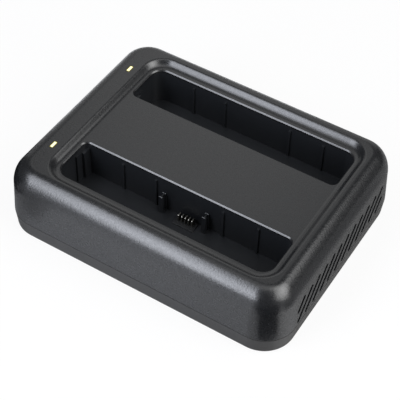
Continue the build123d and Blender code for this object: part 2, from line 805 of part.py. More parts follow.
pan_head = (screw_radius, screw_head_radius, screw_head_height)
save(screws(cover_boss_places, base_floor + seat_height, cover_screw_length, *pan_head), "cover_screws")
save(screws(tub_boss_places, ear_z - ear_thickness, short_screw_length, *pan_head), "tub_screws")
small_screw = (small_screw_length, small_screw_radius, small_head_radius, small_head_height)
contact_screw_places = [(x, side * y) for x, y in contact_boss_places for side in (-1, 1)]
with BuildPart() as board_screws:
    add(screws(contact_screw_places, contact_board_bottom, *small_screw))
    add(screws(led_boss_places, led_board_top - board_thickness, *small_screw))
    add(screws(standoff_places, board_top, *small_screw, upwards=False))
save(board_screws.part, "board_screws")


# ---- Mains inlet ------------------------------------------------------------------------------------
inlet_flange_front = inlet_front - wall - draft_inset / 2
pin_places = [(side * inlet_pin_spacing / 2, 0) for side in (-1, 1)]

with BuildPart() as mains_inlet:
    with BuildSketch(inlet_plane):
        RectangleRounded(inlet_outer_width, inlet_outer_height, inlet_corner_radius)
    extrude(amount=-inlet_depth)
    with BuildSketch(inlet_plane.offset(inlet_flange_front - inlet_front)):
        RectangleRounded(
            inlet_outer_width + 2 * inlet_flange, inlet_outer_height + 2 * inlet_flange, inlet_corner_radius
        )
    extrude(amount=-inlet_flange_thickness)
    with BuildSketch(inlet_plane):
        SlotOverall(inlet_width, inlet_height)
    extrude(amount=-inlet_socket_depth, mode=Mode.SUBTRACT)
    with BuildSketch(inlet_plane):
        with Locations(*pin_places):
            Circle(inlet_pin_radius + screw_pilot_clearance)
    extrude(amount=-inlet_depth, mode=Mode.SUBTRACT)
save(mains_inlet.part, "mains_inlet")

with BuildPart() as inlet_pins:
    with BuildSketch(inlet_plane.offset(inlet_pin_length - inlet_socket_depth)):
        with Locations(*pin_places):
            Circle(inlet_pin_radius)
    extrude(amount=inlet_socket_depth - inlet_pin_length - inlet_depth)
    fillet(inlet_pins.edges().group_by(Axis.Y)[-1], inlet_pin_radius / 2)
    with BuildSketch(inlet_plane.offset(-inlet_depth)):
        with Locations(*pin_places):
            Rectangle(tab_width, tab_thickness)
    extrude(amount=-tab_length)
save(inlet_pins.part, "inlet_pins")


# ---- Main board and what it carries -----------------------------------------------------------------
with BuildPart() as insulation_sheet:
    with BuildSketch(Plane.XY.offset(base_floor)):
        with Locations((board_x, 0)):
            Rectangle(board_length + 2 * sheet_overhang, board_width + 2 * sheet_overhang)
        with Locations(*standoff_places):
            Circle(standoff_radius + screw_hole_clearance, mode=Mode.SUBTRACT)
    extrude(amount=sheet_thickness)
save(insulation_sheet.part, "insulation_sheet")

with BuildPart() as main_board:
    with BuildSketch(Plane.XY.offset(board_bottom)):
        with Locations((board_x, 0)):
            RectangleRounded(board_length, board_width, board_corner_radius)
        with Locations(*standoff_places):
            Circle(small_screw_radius + screw_hole_clearance, mode=Mode.SUBTRACT)
    extrude(amount=board_thickness)
save(main_board.part, "main_board")

# the parts stand in one row from the lamp end to the vented end, each after its neighbour
row_extents = {
    "fuse": 2 * fuse_radius,
    "choke": choke_length,
    "film_capacitor": film_capacitor_length,
    "bridge": bridge_length,
    "bulk_capacitor": 2 * bulk_capacitor_radius,
    "transformer": transformer_length,
    "sink": sink_thickness + 2 * transistor_thickness,
    "output_capacitors": 2 * output_capacitor_radius,
    "inductors": 2 * inductor_radius,
    "chips": chip_length,
}
row_x = {}
row_end = board_start + 2 * board_corner_inset + part_gap
for part_name, extent in row_extents.items():
    row_x[part_name] = row_end + extent / 2
    row_end += extent + part_gap

with BuildPart() as fuse_clips:
    with BuildSketch(Plane.XY.offset(board_top)):
        with Locations((row_x["fuse"], 0)):
            with GridLocations(0, fuse_length - fuse_clip_length, 1, 2):
                Rectangle(2 * fuse_radius + 2 * fuse_clip_wall, fuse_clip_length)
    extrude(amount=fuse_lift + fuse_radius + fuse_clip_hold)
    with BuildSketch(Plane.XZ.offset(-fuse_length)):
        with Locations((row_x["fuse"], board_top + fuse_lift + fuse_radius)):
            Circle(fuse_radius + screw_pilot_clearance)
    extrude(amount=2 * fuse_length, mode=Mode.SUBTRACT)
save(fuse_clips.part, "fuse_clips")

with BuildPart() as fuse:
    with BuildSketch(Plane.XZ.offset(-fuse_length / 2)):
        with Locations((row_x["fuse"], board_top + fuse_lift + fuse_radius)):
            Circle(fuse_radius)
    extrude(amount=fuse_length)
save(fuse.part, "fuse")

with BuildPart() as choke_core:
    with BuildSketch(Plane.YZ.offset(row_x["choke"] - choke_leg / 2)):
        with Locations((0, board_top + choke_height / 2)):
            Rectangle(choke_width, choke_height)
            Rectangle(choke_width - 2 * choke_leg, choke_height - 2 * choke_leg, mode=Mode.SUBTRACT)
    extrude(amount=choke_leg)
save(choke_core.part, "choke_core")

with BuildPart() as choke_windings:
    with BuildSketch(Plane.XY.offset(board_top + choke_leg + winding_gap)):
        with Locations((row_x["choke"], 0)):
            with GridLocations(0, choke_width - choke_leg, 1, 2):
                RectangleRounded(choke_length, choke_leg + 2 * choke_winding, choke_winding)
                Rectangle(choke_leg + 2 * winding_gap, choke_leg + 2 * winding_gap, mode=Mode.SUBTRACT)
    extrude(amount=choke_height - 2 * (choke_leg + winding_gap))
save(choke_windings.part, "choke_windings")

with BuildPart() as film_capacitor:
    with BuildSketch(Plane.XY.offset(board_top)):
        with Locations((row_x["film_capacitor"], 0)):
            Rectangle(film_capacitor_length, film_capacitor_width)
    extrude(amount=film_capacitor_height)
    fillet(film_capacitor.edges().group_by(Axis.Z)[-1], component_edge)
save(film_capacitor.part, "film_capacitor")

with BuildPart() as bridge_rectifier:
    with BuildSketch(Plane.XY.offset(board_top)):
        with Locations((row_x["bridge"], 0)):
            Rectangle(bridge_length, bridge_width)
    extrude(amount=bridge_height)
    chamfer(bridge_rectifier.edges().group_by(Axis.Z)[-1].sort_by(Axis.Y)[-1], bridge_corner)
save(bridge_rectifier.part, "bridge_rectifier")

with BuildPart() as bulk_capacitor:
    with BuildSketch(Plane.XY.offset(board_top)):
        with Locations((row_x["bulk_capacitor"], 0)):
            Circle(bulk_capacitor_radius)
    extrude(amount=bulk_capacitor_height)
    fillet(bulk_capacitor.edges().group_by(Axis.Z)[-1], component_edge)
    with BuildSketch(Plane.XY.offset(board_top + bulk_capacitor_groove_rise)):
        with Locations((row_x["bulk_capacitor"], 0)):
            Circle(bulk_capacitor_radius + bulk_capacitor_groove)
            Circle(bulk_capacitor_radius - bulk_capacitor_groove, mode=Mode.SUBTRACT)
    extrude(amount=bulk_capacitor_groove, mode=Mode.SUBTRACT)
save(bulk_capacitor.part, "bulk_capacitor")

transformer_window = (transformer_length - transformer_middle_leg) / 2 - transformer_leg
with BuildPart() as transformer_core:
    with BuildSketch(Plane.XZ.offset(-transformer_core_depth / 2)):
        with Locations((row_x["transformer"], board_top + transformer_height / 2)):
            Rectangle(transformer_length, transformer_height)
            with GridLocations(transformer_middle_leg + transformer_window, 0, 2, 1):
                Rectangle(transformer_window, transformer_height - 2 * transformer_leg, mode=Mode.SUBTRACT)
    extrude(amount=transformer_core_depth)
save(transformer_core.part, "transformer_core")

with BuildPart() as transformer_winding:
    with BuildSketch(Plane.XY.offset(board_top + transformer_leg + winding_gap)):
        with Locations((row_x["transformer"], 0)):
            RectangleRounded(
                transformer_middle_leg + 2 * (transformer_window - winding_gap),
                transformer_width,
                transformer_winding_radius,
            )
            Rectangle(
                transformer_middle_leg + 2 * winding_gap,
                transformer_core_depth + 2 * winding_gap,
                mode=Mode.SUBTRACT,
            )
    extrude(amount=transformer_height - 2 * (transformer_leg + winding_gap))
save(transformer_winding.part, "transformer_winding")

sink_x = row_x["sink"] - row_extents["sink"] / 2 + transistor_thickness
with BuildPart() as heat_sink:
    with BuildSketch(Plane.XY.offset(board_top)):
        with Locations((sink_x, 0)):
            Rectangle(sink_thickness, sink_width, align=(Align.MIN, Align.CENTER))
            with GridLocations(0, sink_fin_spacing, 1, sink_fin_count):
                Rectangle(
                    sink_thickness + sink_fin_depth, sink_fin_thickness, align=(Align.MIN, Align.CENTER)
                )
    extrude(amount=sink_height)
save(heat_sink.part, "heat_sink")

with BuildPart() as power_transistors:
    with BuildSketch(Plane.XY.offset(board_top + transistor_lift)):
        with Locations((sink_x, 0)):
            with GridLocations(0, transistor_spacing, 1, 2):
                Rectangle(transistor_thickness, transistor_width, align=(Align.MAX, Align.CENTER))
    extrude(amount=transistor_height)
    with BuildSketch(Plane.XY.offset(board_top)):
        with Locations((sink_x - transistor_thickness / 2, 0)):
            with GridLocations(0, transistor_spacing, 1, 2):
                with GridLocations(0, transistor_lead_spacing, 1, 3):
                    Rectangle(lead_thickness, lead_thickness)
    extrude(amount=transistor_lift)
save(power_transistors.part, "power_transistors")

with BuildPart() as output_capacitors:
    with BuildSketch(Plane.XY.offset(board_top)):
        with Locations((row_x["output_capacitors"], 0)):
            with GridLocations(0, output_capacitor_spacing, 1, 3):
                Circle(output_capacitor_radius)
    extrude(amount=output_capacitor_height)
    fillet(output_capacitors.edges().group_by(Axis.Z)[-1], component_edge)
save(output_capacitors.part, "output_capacitors")

with BuildPart() as charge_inductors:
    with BuildSketch(Plane.XY.offset(board_top)):
        with Locations((row_x["inductors"], 0)):
            with GridLocations(0, inductor_spacing, 1, 2):
                Circle(inductor_radius)
                Circle(inductor_bore, mode=Mode.SUBTRACT)
    extrude(amount=inductor_height)
    fillet(charge_inductors.edges().group_by(Axis.Z)[-1], inductor_edge)
save(charge_inductors.part, "charge_inductors")

with BuildPart() as controller_chips:
    with BuildSketch(Plane.XY.offset(board_top)):
        with Locations((row_x["chips"], 0)):
            with GridLocations(0, chip_spacing, 1, chip_count):
                Rectangle(chip_length, chip_width)
    extrude(amount=chip_height)
save(controller_chips.part, "controller_chips")


# ---- Wiring -----------------------------------------------------------------------------------------
charge_header_y = board_width / 2 - header_depth / 2
charge_header_length = (contact_count - 1) * light_wire_pitch + 2 * header_wall + 2 * light_wire_radius
lamp_header_length = (lamp_wire_count - 1) * light_wire_pitch + 2 * header_wall + 2 * light_wire_radius
lamp_header_x = board_start + header_depth / 2
charge_header_places = [(key_x, side * charge_header_y) for side in (-1, 1)]
contact_header_places = [(key_x, side * contact_header_y) for side in (-1, 1)]

with BuildPart() as wire_headers:
    with BuildSketch(Plane.XY.offset(board_top)):
        with Locations(*charge_header_places):
            Rectangle(charge_header_length, header_depth)
        with Locations((lamp_header_x, 0)):
            Rectangle(header_depth, lamp_header_length)
    extrude(amount=header_height)
    with BuildSketch(Plane.XY.offset(contact_board_bottom)):
        with Locations(*contact_header_places):
            Rectangle(charge_header_length, header_depth)
    extrude(amount=-header_height)
    with BuildSketch(Plane.XY.offset(led_board_top - board_thickness)):
        with Locations((lamp_x, 0)):
            Rectangle(header_depth, lamp_header_length)
    extrude(amount=-header_height)
save(wire_headers.part, "wire_headers")

terminal_y = board_width / 2 - terminal_depth / 2
with BuildPart() as mains_terminal:
    with BuildSketch(Plane.XY.offset(board_top)):
        with Locations((inlet_x, terminal_y)):
            Rectangle(inlet_pin_spacing + 2 * terminal_margin + tab_width, terminal_depth)
    extrude(amount=terminal_height)
save(mains_terminal.part, "mains_terminal")


def wire(points, radius, bend):
    """Insulated wire along straight runs joined by bends."""
    with BuildPart() as lead:
        with BuildLine() as route:
            FilletPolyline(*points, radius=bend)
        with BuildSketch(Plane(origin=route.line @ 0, z_dir=route.line % 0)):
            Circle(radius)
        sweep(path=route.line)
    return lead.part


mains_level = board_top + mains_wire_rise
tab_y = inlet_rear - tab_length / 2
tab_under = inlet_middle - tab_thickness / 2
mains_leads = Compound(
    children=[
        wire(
            [(x, tab_y, tab_under), (x, tab_y, mains_level), (x, board_width / 2, mains_level)],
            mains_wire_radius,
            mains_wire_bend,
        )
        for x in (inlet_x - inlet_pin_spacing / 2, inlet_x + inlet_pin_spacing / 2)
    ]
)
save(mains_leads, "mains_leads")

light_level = board_top + light_wire_rise
lamp_wire_ys = [(index - (lamp_wire_count - 1) / 2) * light_wire_pitch for index in range(lamp_wire_count)]
lamp_leads = Compound(
    children=[
        wire(
            [
                (lamp_x, y, led_board_top - board_thickness - header_height),
                (lamp_x, y, light_level),
                (lamp_header_x - header_depth / 2, y, light_level),
            ],
            light_wire_radius,
            lamp_wire_bend,
        )
        for y in lamp_wire_ys
    ]
)
save(lamp_leads, "lamp_leads")

charge_wire_length = contact_header_y - header_depth / 2 - board_width / 2
with BuildPart() as charge_leads:
    for side in (-1, 1):
        with BuildSketch(Plane.XZ.offset(-side * board_width / 2)):
            with Locations((key_x, light_level)):
                with GridLocations(light_wire_pitch, 0, contact_count, 1):
                    Circle(light_wire_radius)
        extrude(amount=-side * charge_wire_length)
save(charge_leads.part, "charge_leads")
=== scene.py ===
import logging
import math
from collections.abc import Callable
from dataclasses import dataclass
from enum import Enum
from functools import partial

import bmesh
import bpy
from bmesh.types import BMesh, BMVert
from bpy.types import AreaLight, Material, Mesh, Node, NodeSocket, NodeTree, Object, World
from mathutils import Euler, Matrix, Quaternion, Vector


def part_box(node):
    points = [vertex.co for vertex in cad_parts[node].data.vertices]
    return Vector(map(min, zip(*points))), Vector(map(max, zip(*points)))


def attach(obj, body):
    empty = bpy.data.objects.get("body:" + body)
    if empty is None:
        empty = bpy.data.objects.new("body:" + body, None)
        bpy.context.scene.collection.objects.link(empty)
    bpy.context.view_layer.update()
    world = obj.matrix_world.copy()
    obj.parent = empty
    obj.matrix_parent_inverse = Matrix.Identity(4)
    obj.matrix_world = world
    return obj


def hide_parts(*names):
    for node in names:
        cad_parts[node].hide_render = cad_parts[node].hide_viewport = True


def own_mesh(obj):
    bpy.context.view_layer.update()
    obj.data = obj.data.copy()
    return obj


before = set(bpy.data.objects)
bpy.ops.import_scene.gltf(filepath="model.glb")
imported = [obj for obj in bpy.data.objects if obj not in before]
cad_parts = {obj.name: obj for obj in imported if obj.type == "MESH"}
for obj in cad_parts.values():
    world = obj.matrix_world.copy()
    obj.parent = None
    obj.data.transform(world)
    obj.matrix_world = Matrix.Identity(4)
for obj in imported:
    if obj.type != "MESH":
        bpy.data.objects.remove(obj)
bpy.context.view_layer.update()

log = logging.getLogger("charging_dock")

MM = 0.001
DOCK = "dock"
WHITE = (1.0, 1.0, 1.0, 1.0)
SHARP_EDGE = math.radians(38.0)
SAME_POINT = 0.002 * MM
NOISE_LOW, NOISE_HIGH = 0.3, 0.7  # nearly all of a noise's values lie between these

Plan = tuple[float, float]
Point = tuple[float, float, float]
Box = tuple[Vector, Vector]
Feed = Node | NodeSocket
Adder = Callable[..., Node]


# ---- Small helpers ----------------------------------------------------------------------------------
def linear(hex_colour: str) -> tuple[float, float, float, float]:
    """Turn an sRGB hex colour into linear light.

    Args:
        hex_colour: A hash and six hex digits.

    Returns:
        Linear red, green, blue and an alpha of 1.
    """
    parts = [int(hex_colour[i : i + 2], 16) / 255 for i in (1, 3, 5)]
    red, green, blue = [p / 12.92 if p <= 0.04045 else ((p + 0.055) / 1.055) ** 2.4 for p in parts]
    return red, green, blue, 1.0


def add_node(tree: NodeTree, kind: str, inputs: dict | None = None, **settings) -> Node:
    """Add a node, set it up and wire its inputs.

    Args:
        tree: Tree that gets the node.
        kind: The node's type name.
        inputs: Socket name or index to what it takes: a plain value, an output socket, a node, which
            gives its first output, or a list of these for a socket that joins them.
        **settings: Properties of the node itself.

    Returns:
        The new node.
    """
    node = tree.nodes.new(kind)
    for name, value in settings.items():
        setattr(node, name, value)
    for key, value in (inputs or {}).items():
        for feed in value if isinstance(value, list) else [value]:
            if isinstance(feed, Node):
                feed = feed.outputs[0]
            if isinstance(feed, NodeSocket):
                tree.links.new(feed, node.inputs[key])
            else:
                node.inputs[key].default_value = feed
    return node


def bare_tree(owner: Material | AreaLight | World) -> Adder:
    """Switch on the nodes of a material, a lamp or the world, and clear them.

    Args:
        owner: What the nodes belong to.

    Returns:
        add_node, bound to the owner's tree.
    """
    owner.use_nodes = True
    owner.node_tree.nodes.clear()
    return partial(add_node, owner.node_tree)


def link(obj: Object) -> None:
    """Put an object into the scene."""
    bpy.context.scene.collection.objects.link(obj)


def paint(obj: Object, material: Material) -> None:
    """Give every material slot of an object the same finish.

    Args:
        obj: The object.
        material: The finish.
    """
    if not obj.material_slots:
        obj.data.materials.append(material)
    for slot in obj.material_slots:
        slot.material = material


def lay_flat(name: str, outline: tuple[Plan, ...], height: float, material: Material) -> Object:
    """Lay a flat sheet of the studio, which isn't part of the dock.

    Args:
        name: The sheet's name.
        outline: Its corners in metres, in order.
        height: Its height in metres.
        material: Its finish.

    Returns:
        The sheet.
    """
    mesh = bpy.data.meshes.new(name)
    mesh.from_pydata([(x, y, height) for x, y in outline], [], [tuple(range(len(outline)))])
    sheet = bpy.data.objects.new(name, mesh)
    link(sheet)
    paint(sheet, material)
    return sheet


def centre(box: Box, height: float | None = None) -> Vector:
    """Find the middle of a box, or the point over or under it at a given height.

    Args:
        box: The box's lowest and highest corner.
        height: The point's height, if it isn't the middle's.

    Returns:
        The point.
    """
    point = (box[0] + box[1]) / 2
    if height is not None:
        point.z = height
    return point


def round_size(box: Box) -> Plan:
    """Radius and height, in millimetres, of the upright round thing that fills a box."""
    return (box[1].x - box[0].x) / 2 / MM, (box[1].z - box[0].z) / MM


# ---- Finishes ---------------------------------------------------------------------------------------
class Relief(Enum):
    """How a surface's fine relief is laid out."""

    GRAIN = "grain"
    WOUND = "wound"


@dataclass(frozen=True)
class Finish:
    """A surface finish with a real-size relief.

    Colours are sRGB hex. Sizes are in millimetres. The mottle is how far the colour swings around its
    middle, and the gloss swing how far the roughness does. The slot names the record's material slot, for a
    finish that pieces built here wear; nothing here reads it.
    """

    name: str
    colour: str
    roughness: float
    relief: Relief = Relief.GRAIN
    grain: float = 1.0
    depth: float = 0.02
    mottle: float = 0.08
    mottle_size: float = 14.0
    gloss_swing: float = 0.06
    metallic: float = 0.0
    ior: float = 1.5
    specular: float = 0.5
    coat: float = 0.0
    coat_roughness: float = 0.1
    stretch: Point = (1.0, 1.0, 1.0)
    slot: str = ""

    def height(self, add: Adder, place: Feed) -> NodeSocket:
        """Build the relief's height pattern.

        Args:
            add: add_node, bound to the material's tree.
            place: Object coordinates, stretched along the grain.

        Returns:
            The socket that carries the height, from 0 to 1.
        """
        scale = 1 / (self.grain * MM)
        if self.relief is Relief.WOUND:
            # The wave texture's phase runs 20 radians per unit, so this makes each lap two grains wide.
            lap = {"Vector": place, "Scale": scale / 20.0 * math.pi, "Distortion": 0.3, "Detail": 1.0}
            return add("ShaderNodeTexWave", lap, bands_direction="Z").outputs["Fac"]
        speck = {"Vector": place, "Scale": scale, "Detail": 2.5, "Roughness": 0.55}
        return add("ShaderNodeTexNoise", speck).outputs["Fac"]

    def relief_depth(self, add: Adder, place: NodeSocket) -> float | Node:
        """Keep the relief even all over; a finish that fades somewhere says where."""
        return self.depth * MM

    def dulled(self, add: Adder, place: NodeSocket, gloss: Node) -> Node:
        """Leave the roughness as it is; a finish that is duller somewhere says where."""
        return gloss

    def material(self) -> Material:
        """Build the finish as a node material.

        Returns:
            The material.
        """
        made = bpy.data.materials.new(self.name)
        add = bare_tree(made)
        coordinates = add("ShaderNodeTexCoord").outputs["Object"]
        place = add("ShaderNodeMapping", {"Vector": coordinates, "Scale": self.stretch})
        fine = self.height(add, place)
        cloud = {"Vector": coordinates, "Scale": 1 / (self.mottle_size * MM), "Detail": 3.0}
        red, green, blue, alpha = linear(self.colour)
        darker, lighter = (
            (min(1.0, red * swing), min(1.0, green * swing), min(1.0, blue * swing), alpha)
            for swing in (1 - self.mottle, 1 + self.mottle)
        )
        tint = {"Factor": add("ShaderNodeTexNoise", cloud), 6: darker, 7: lighter}
        gloss = {"Value": fine, "From Min": NOISE_LOW, "From Max": NOISE_HIGH}
        gloss |= {"To Min": self.roughness - self.gloss_swing, "To Max": self.roughness + self.gloss_swing}
        bump = {"Height": fine, "Distance": self.relief_depth(add, coordinates), "Strength": 1.0}
        shader = add(
            "ShaderNodeBsdfPrincipled",
            {
                "Base Color": add("ShaderNodeMix", tint, data_type="RGBA").outputs[2],
                "Metallic": self.metallic,
                "Roughness": self.dulled(add, coordinates, add("ShaderNodeMapRange", gloss)),
                "IOR": self.ior,
                "Specular IOR Level": self.specular,
                "Coat Weight": self.coat,
                "Coat Roughness": self.coat_roughness,
                "Normal": add("ShaderNodeBump", bump),
            },
        )
        add("ShaderNodeOutputMaterial", {"Surface": shader})
        return made

    def worn(self) -> Material:
        """The finish's material, built on its first use."""
        return bpy.data.materials.get(self.name) or self.material()


def past_edge(add: Adder, place: NodeSocket, middle: Plan, half: Plan) -> Node:
    """Measure how far a surface point lies outside a rectangle in plan.

    Args:
        add: add_node, bound to the material's tree.
        place: Object coordinates.
        middle: The rectangle's middle in millimetres.
        half: Half its sides, in millimetres.

    Returns:
        The node that gives the distance in metres, negative inside.
    """
    shift, reach = [(*(c * MM for c in pair), 0.0) for pair in (middle, half)]
    local = add("ShaderNodeVectorMath", {0: place, 1: shift}, operation="SUBTRACT")
    size = add("ShaderNodeVectorMath", {0: local}, operation="ABSOLUTE")
    past = add("ShaderNodeVectorMath", {0: size, 1: reach}, operation="SUBTRACT")
    parts = add("ShaderNodeSeparateXYZ", {0: past}).outputs
    return add("ShaderNodeMath", {0: parts[0], 1: parts[1]}, operation="MAXIMUM")


@dataclass(frozen=True)
class ShellFinish(Finish):
    """A shell finish whose grain stays on the outside: the mould was polished where the deck is sunk.

    The polished field is a rectangle in plan, in millimetres, with a soft border.
    """

    field_middle: Plan = (4.8, 0.0)
    field_half: Plan = (104.0, 80.5)
    border: float = 5.0
    kept: float = 0.1

    def relief_depth(self, add: Adder, place: NodeSocket) -> Node:
        """Flatten the relief inside the polished field.

        Args:
            add: add_node, bound to the material's tree.
            place: Object coordinates.

        Returns:
            The node that gives the relief's depth.
        """
        out = past_edge(add, place, self.field_middle, self.field_half)
        fade = {"Value": out, "From Min": -self.border * MM, "From Max": 0.0}
        fade |= {"To Min": self.kept * self.depth * MM, "To Max": self.depth * MM}
        return add("ShaderNodeMapRange", fade, interpolation_type="SMOOTHSTEP")


@dataclass(frozen=True)
class BaseFinish(Finish):
    """A base finish that is dull along the seam, where the parting edge was rubbed down by hand.

    Heights are in millimetres.
    """

    seam: float = 14.8
    dull_height: float = 0.6
    dull: float = 0.9

    def dulled(self, add: Adder, place: NodeSocket, gloss: Node) -> Node:
        """Raise the roughness just below the seam.

        Args:
            add: add_node, bound to the material's tree.
            place: Object coordinates.
            gloss: The finish's own roughness.

        Returns:
            The node that gives the roughness with the dull edge in it.
        """
        height = add("ShaderNodeSeparateXYZ", {0: place}).outputs["Z"]
        low, high = [(self.seam - drop) * MM for drop in (self.dull_height, self.dull_height / 2)]
        near = add("ShaderNodeMapRange", {"Value": height, "From Min": low, "From Max": high})
        return add("ShaderNodeMix", {"Factor": near, 2: gloss, 3: self.dull}, data_type="FLOAT")


@dataclass(frozen=True)
class LitWindow:
    """Clear acrylic lamp window, lit from below: pale in the middle and amber at its moulded rim.

    Sizes are in millimetres. The rim is amber up to its start and turns pale over its width.
    """

    name: str = "lit_acrylic_window"
    glow: str = "#ECE8AE"
    rim: str = "#574C0C"
    glow_light: float = 1.0
    rim_light: float = 0.12
    half_size: Plan = (1.45, 3.3)
    rim_width: float = 0.75
    rim_start: float = 0.075
    roughness: float = 0.2
    ior: float = 1.49

    def material(self, middle: Vector) -> Material:
        """Build the window's material around one lamp.

        Args:
            middle: The middle of the window, in metres.

        Returns:
            The material.
        """
        made = bpy.data.materials.new(self.name)
        add = bare_tree(made)
        place = add("ShaderNodeTexCoord").outputs["Object"]
        out = past_edge(add, place, tuple(middle.xy / MM), self.half_size)
        inward = {"Value": out, "From Min": -self.rim_start * MM, "From Max": -self.rim_width * MM}
        share = add("ShaderNodeMapRange", inward, interpolation_type="SMOOTHSTEP")
        tint = {"Factor": share, 6: linear(self.rim), 7: linear(self.glow)}
        colour = add("ShaderNodeMix", tint, data_type="RGBA").outputs[2]
        light = {"Value": share, "To Min": self.rim_light, "To Max": self.glow_light}
        shader = add(
            "ShaderNodeBsdfPrincipled",
            {
                "Base Color": colour,
                "Roughness": self.roughness,
                "IOR": self.ior,
                "Emission Color": colour,
                "Emission Strength": add("ShaderNodeMapRange", light),
            },
        )
        add("ShaderNodeOutputMaterial", {"Surface": shader})
        return made


# Housing: black ABS from a spark-eroded mould, so highlights break up into fine bright specks. The real
# grit is about 0.2 mm and is drawn at 1.6 mm so that it shows.
COVER_ABS = ShellFinish(
    "black_abs_spark_eroded", "#17181A", 0.29, grain=1.6, depth=0.09, mottle=0.05, gloss_swing=0.04,
    specular=0.85, ior=1.54,
)
# Base: the same resin from a flatter, drier mould surface, a touch browner.
BASE_ABS = BaseFinish(
    "black_abs_matte", "#1E1D1C", 0.36, grain=1.2, depth=0.03, mottle=0.05, specular=0.9, ior=1.54
)
# Bays: black ABS, lightly textured so that packs slide.
BAY_ABS = Finish("black_abs_fine_texture", "#1B1D20", 0.42, grain=0.8, depth=0.02, mottle=0.06)
# Feet: moulded natural rubber, dull and slightly grey.
FOOT_RUBBER = Finish(
    "moulded_rubber", "#1B1B1B", 0.78, grain=0.6, depth=0.03, mottle=0.15, mottle_size=5.0, slot="foot_rubber"
)
# Contact blocks and the mains inlet: glass-filled nylon with short fibres near the surface.
BLOCK_NYLON = Finish("glass_filled_nylon", "#1A1B1D", 0.5, grain=0.5, depth=0.015, mottle=0.12, mottle_size=2.0)
# Contacts: phosphor bronze under bright nickel, wiped along its height by every pack.
CONTACT_PLATE = Finish(
    "nickel_plated_bronze", "#8B8982", 0.36, grain=0.4, depth=0.004, metallic=1.0, stretch=(1, 1, 0.15)
)
# Springs: drawn music wire.
SPRING_WIRE = Finish("drawn_spring_wire", "#A9A9A6", 0.3, grain=0.2, depth=0.003, metallic=1.0, slot="spring_steel")
# Screws: zinc-plated steel, faintly blue.
SCREW_ZINC = Finish(
    "zinc_plated_steel", "#AEB2B6", 0.32, grain=0.5, depth=0.006, metallic=1.0, mottle=0.12, slot="screw_steel"
)
# Pins and fuse clips: nickel-plated brass.
NICKEL = Finish("nickel_plated_brass", "#C6C1B4", 0.24, grain=0.6, depth=0.004, metallic=1.0)
# Boards: glass laminate under green solder mask, with the weave faintly showing.
BOARD_MASK = Finish(
    "green_solder_mask", "#12482B", 0.32, grain=0.7, depth=0.008, mottle=0.18, mottle_size=6.0, coat=0.4
)
# Insulation: milky polypropylene film.
FILM = Finish("milky_film", "#C9C9C2", 0.38, grain=8.0, depth=0.08, mottle=0.05)
# Fuse: white ceramic tube, glazed.
FUSE_CERAMIC = Finish("glazed_ceramic", "#DCD8CC", 0.25, depth=0.005, coat=0.5)
# Cores: sintered ferrite, dark grey and faintly sparkling.
FERRITE = Finish(
    "sintered_ferrite", "#2A2A2D", 0.55, grain=0.4, depth=0.03, mottle=0.2, mottle_size=1.5, slot="ferrite"
)
# Windings: copper under brown enamel.
ENAMEL = Finish(
    "enamelled_copper", "#8A4A22", 0.28, grain=0.6, depth=0.004, metallic=0.6, coat=0.5, slot="enamelled_wire"
)
# Transformer winding: yellow polyester tape in laps, each about three millimetres wide.
TAPE = Finish("polyester_tape", "#C9A227", 0.4, Relief.WOUND, grain=1.6, depth=0.12)
# Film capacitor: yellow box, smooth.
BOX_CASE = Finish("yellow_box_case", "#C7A020", 0.35, grain=1.2, depth=0.01)
# Electrolytic sleeve: dark shrink tube, glossy.
SLEEVE = Finish("shrink_sleeve", "#15181F", 0.3, grain=2.5, mottle=0.1)
# Rectifier, transistors, chips and resistors: moulded epoxy.
EPOXY = Finish(
    "moulded_epoxy", "#1C1C1C", 0.6, grain=0.3, depth=0.012, mottle=0.12, mottle_size=1.0, slot="chip_epoxy"
)
# Heat sink and can tops: aluminium with lines along its height.
EXTRUSION = Finish(
    "extruded_aluminium", "#B4B6B8", 0.36, grain=0.5, depth=0.01, metallic=1.0, stretch=(1, 1, 0.05),
    slot="heat_sink_metal",
)
# Headers, lamps and the mains terminal: cream nylon.
CREAM_NYLON = Finish("cream_nylon", "#D9D4C2", 0.42, grain=0.6, depth=0.008)
# Wires: black PVC.
PVC = Finish("black_pvc", "#1A1A1B", 0.45, grain=1.4, depth=0.01)
# Chip legs and resistor ends: tinned, dull silver.
TINNED = Finish("tinned_copper", "#B9BABB", 0.35, grain=0.3, depth=0.004, metallic=1.0, slot="nickel")


# ---- Mesh code --------------------------------------------------------------------------------------
def islands(node: str) -> list[Box]:
    """Find the boxes of a CAD node's separate solids.

    Args:
        node: The node's name.

    Returns:
        The lowest and highest corner of each solid, in a fixed order.
    """
    copy = bmesh.new()
    copy.from_mesh(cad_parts[node].data)
    bmesh.ops.remove_doubles(copy, verts=copy.verts, dist=SAME_POINT)
    left = set(copy.verts)
    boxes = []
    while left:
        stack = [left.pop()]
        places = []
        while stack:
            vertex = stack.pop()
            places.append(vertex.co.copy())
            for edge in vertex.link_edges:
                other = edge.other_vert(vertex)
                if other in left:
                    left.remove(other)
                    stack.append(other)
        boxes.append(tuple(Vector([pick(p[axis] for p in places) for axis in range(3)]) for pick in (min, max)))
    copy.free()
    return sorted(boxes, key=lambda box: [round(c, 5) for c in box[0]])


def circle(radius: float, sides: int, start: float = 0.0) -> list[Plan]:
    """Points of a circle, the first one a part of a side past the X axis."""
    turns = [2 * math.pi * (side + start) / sides for side in range(sides)]
    return [(radius * math.cos(turn), radius * math.sin(turn)) for turn in turns]


def loop(shape: BMesh, points: list[Plan], height: float) -> list[BMVert]:
    """Add one level loop of vertices to a shape, from millimetres."""
    return [shape.verts.new((x * MM, y * MM, height * MM)) for x, y in points]


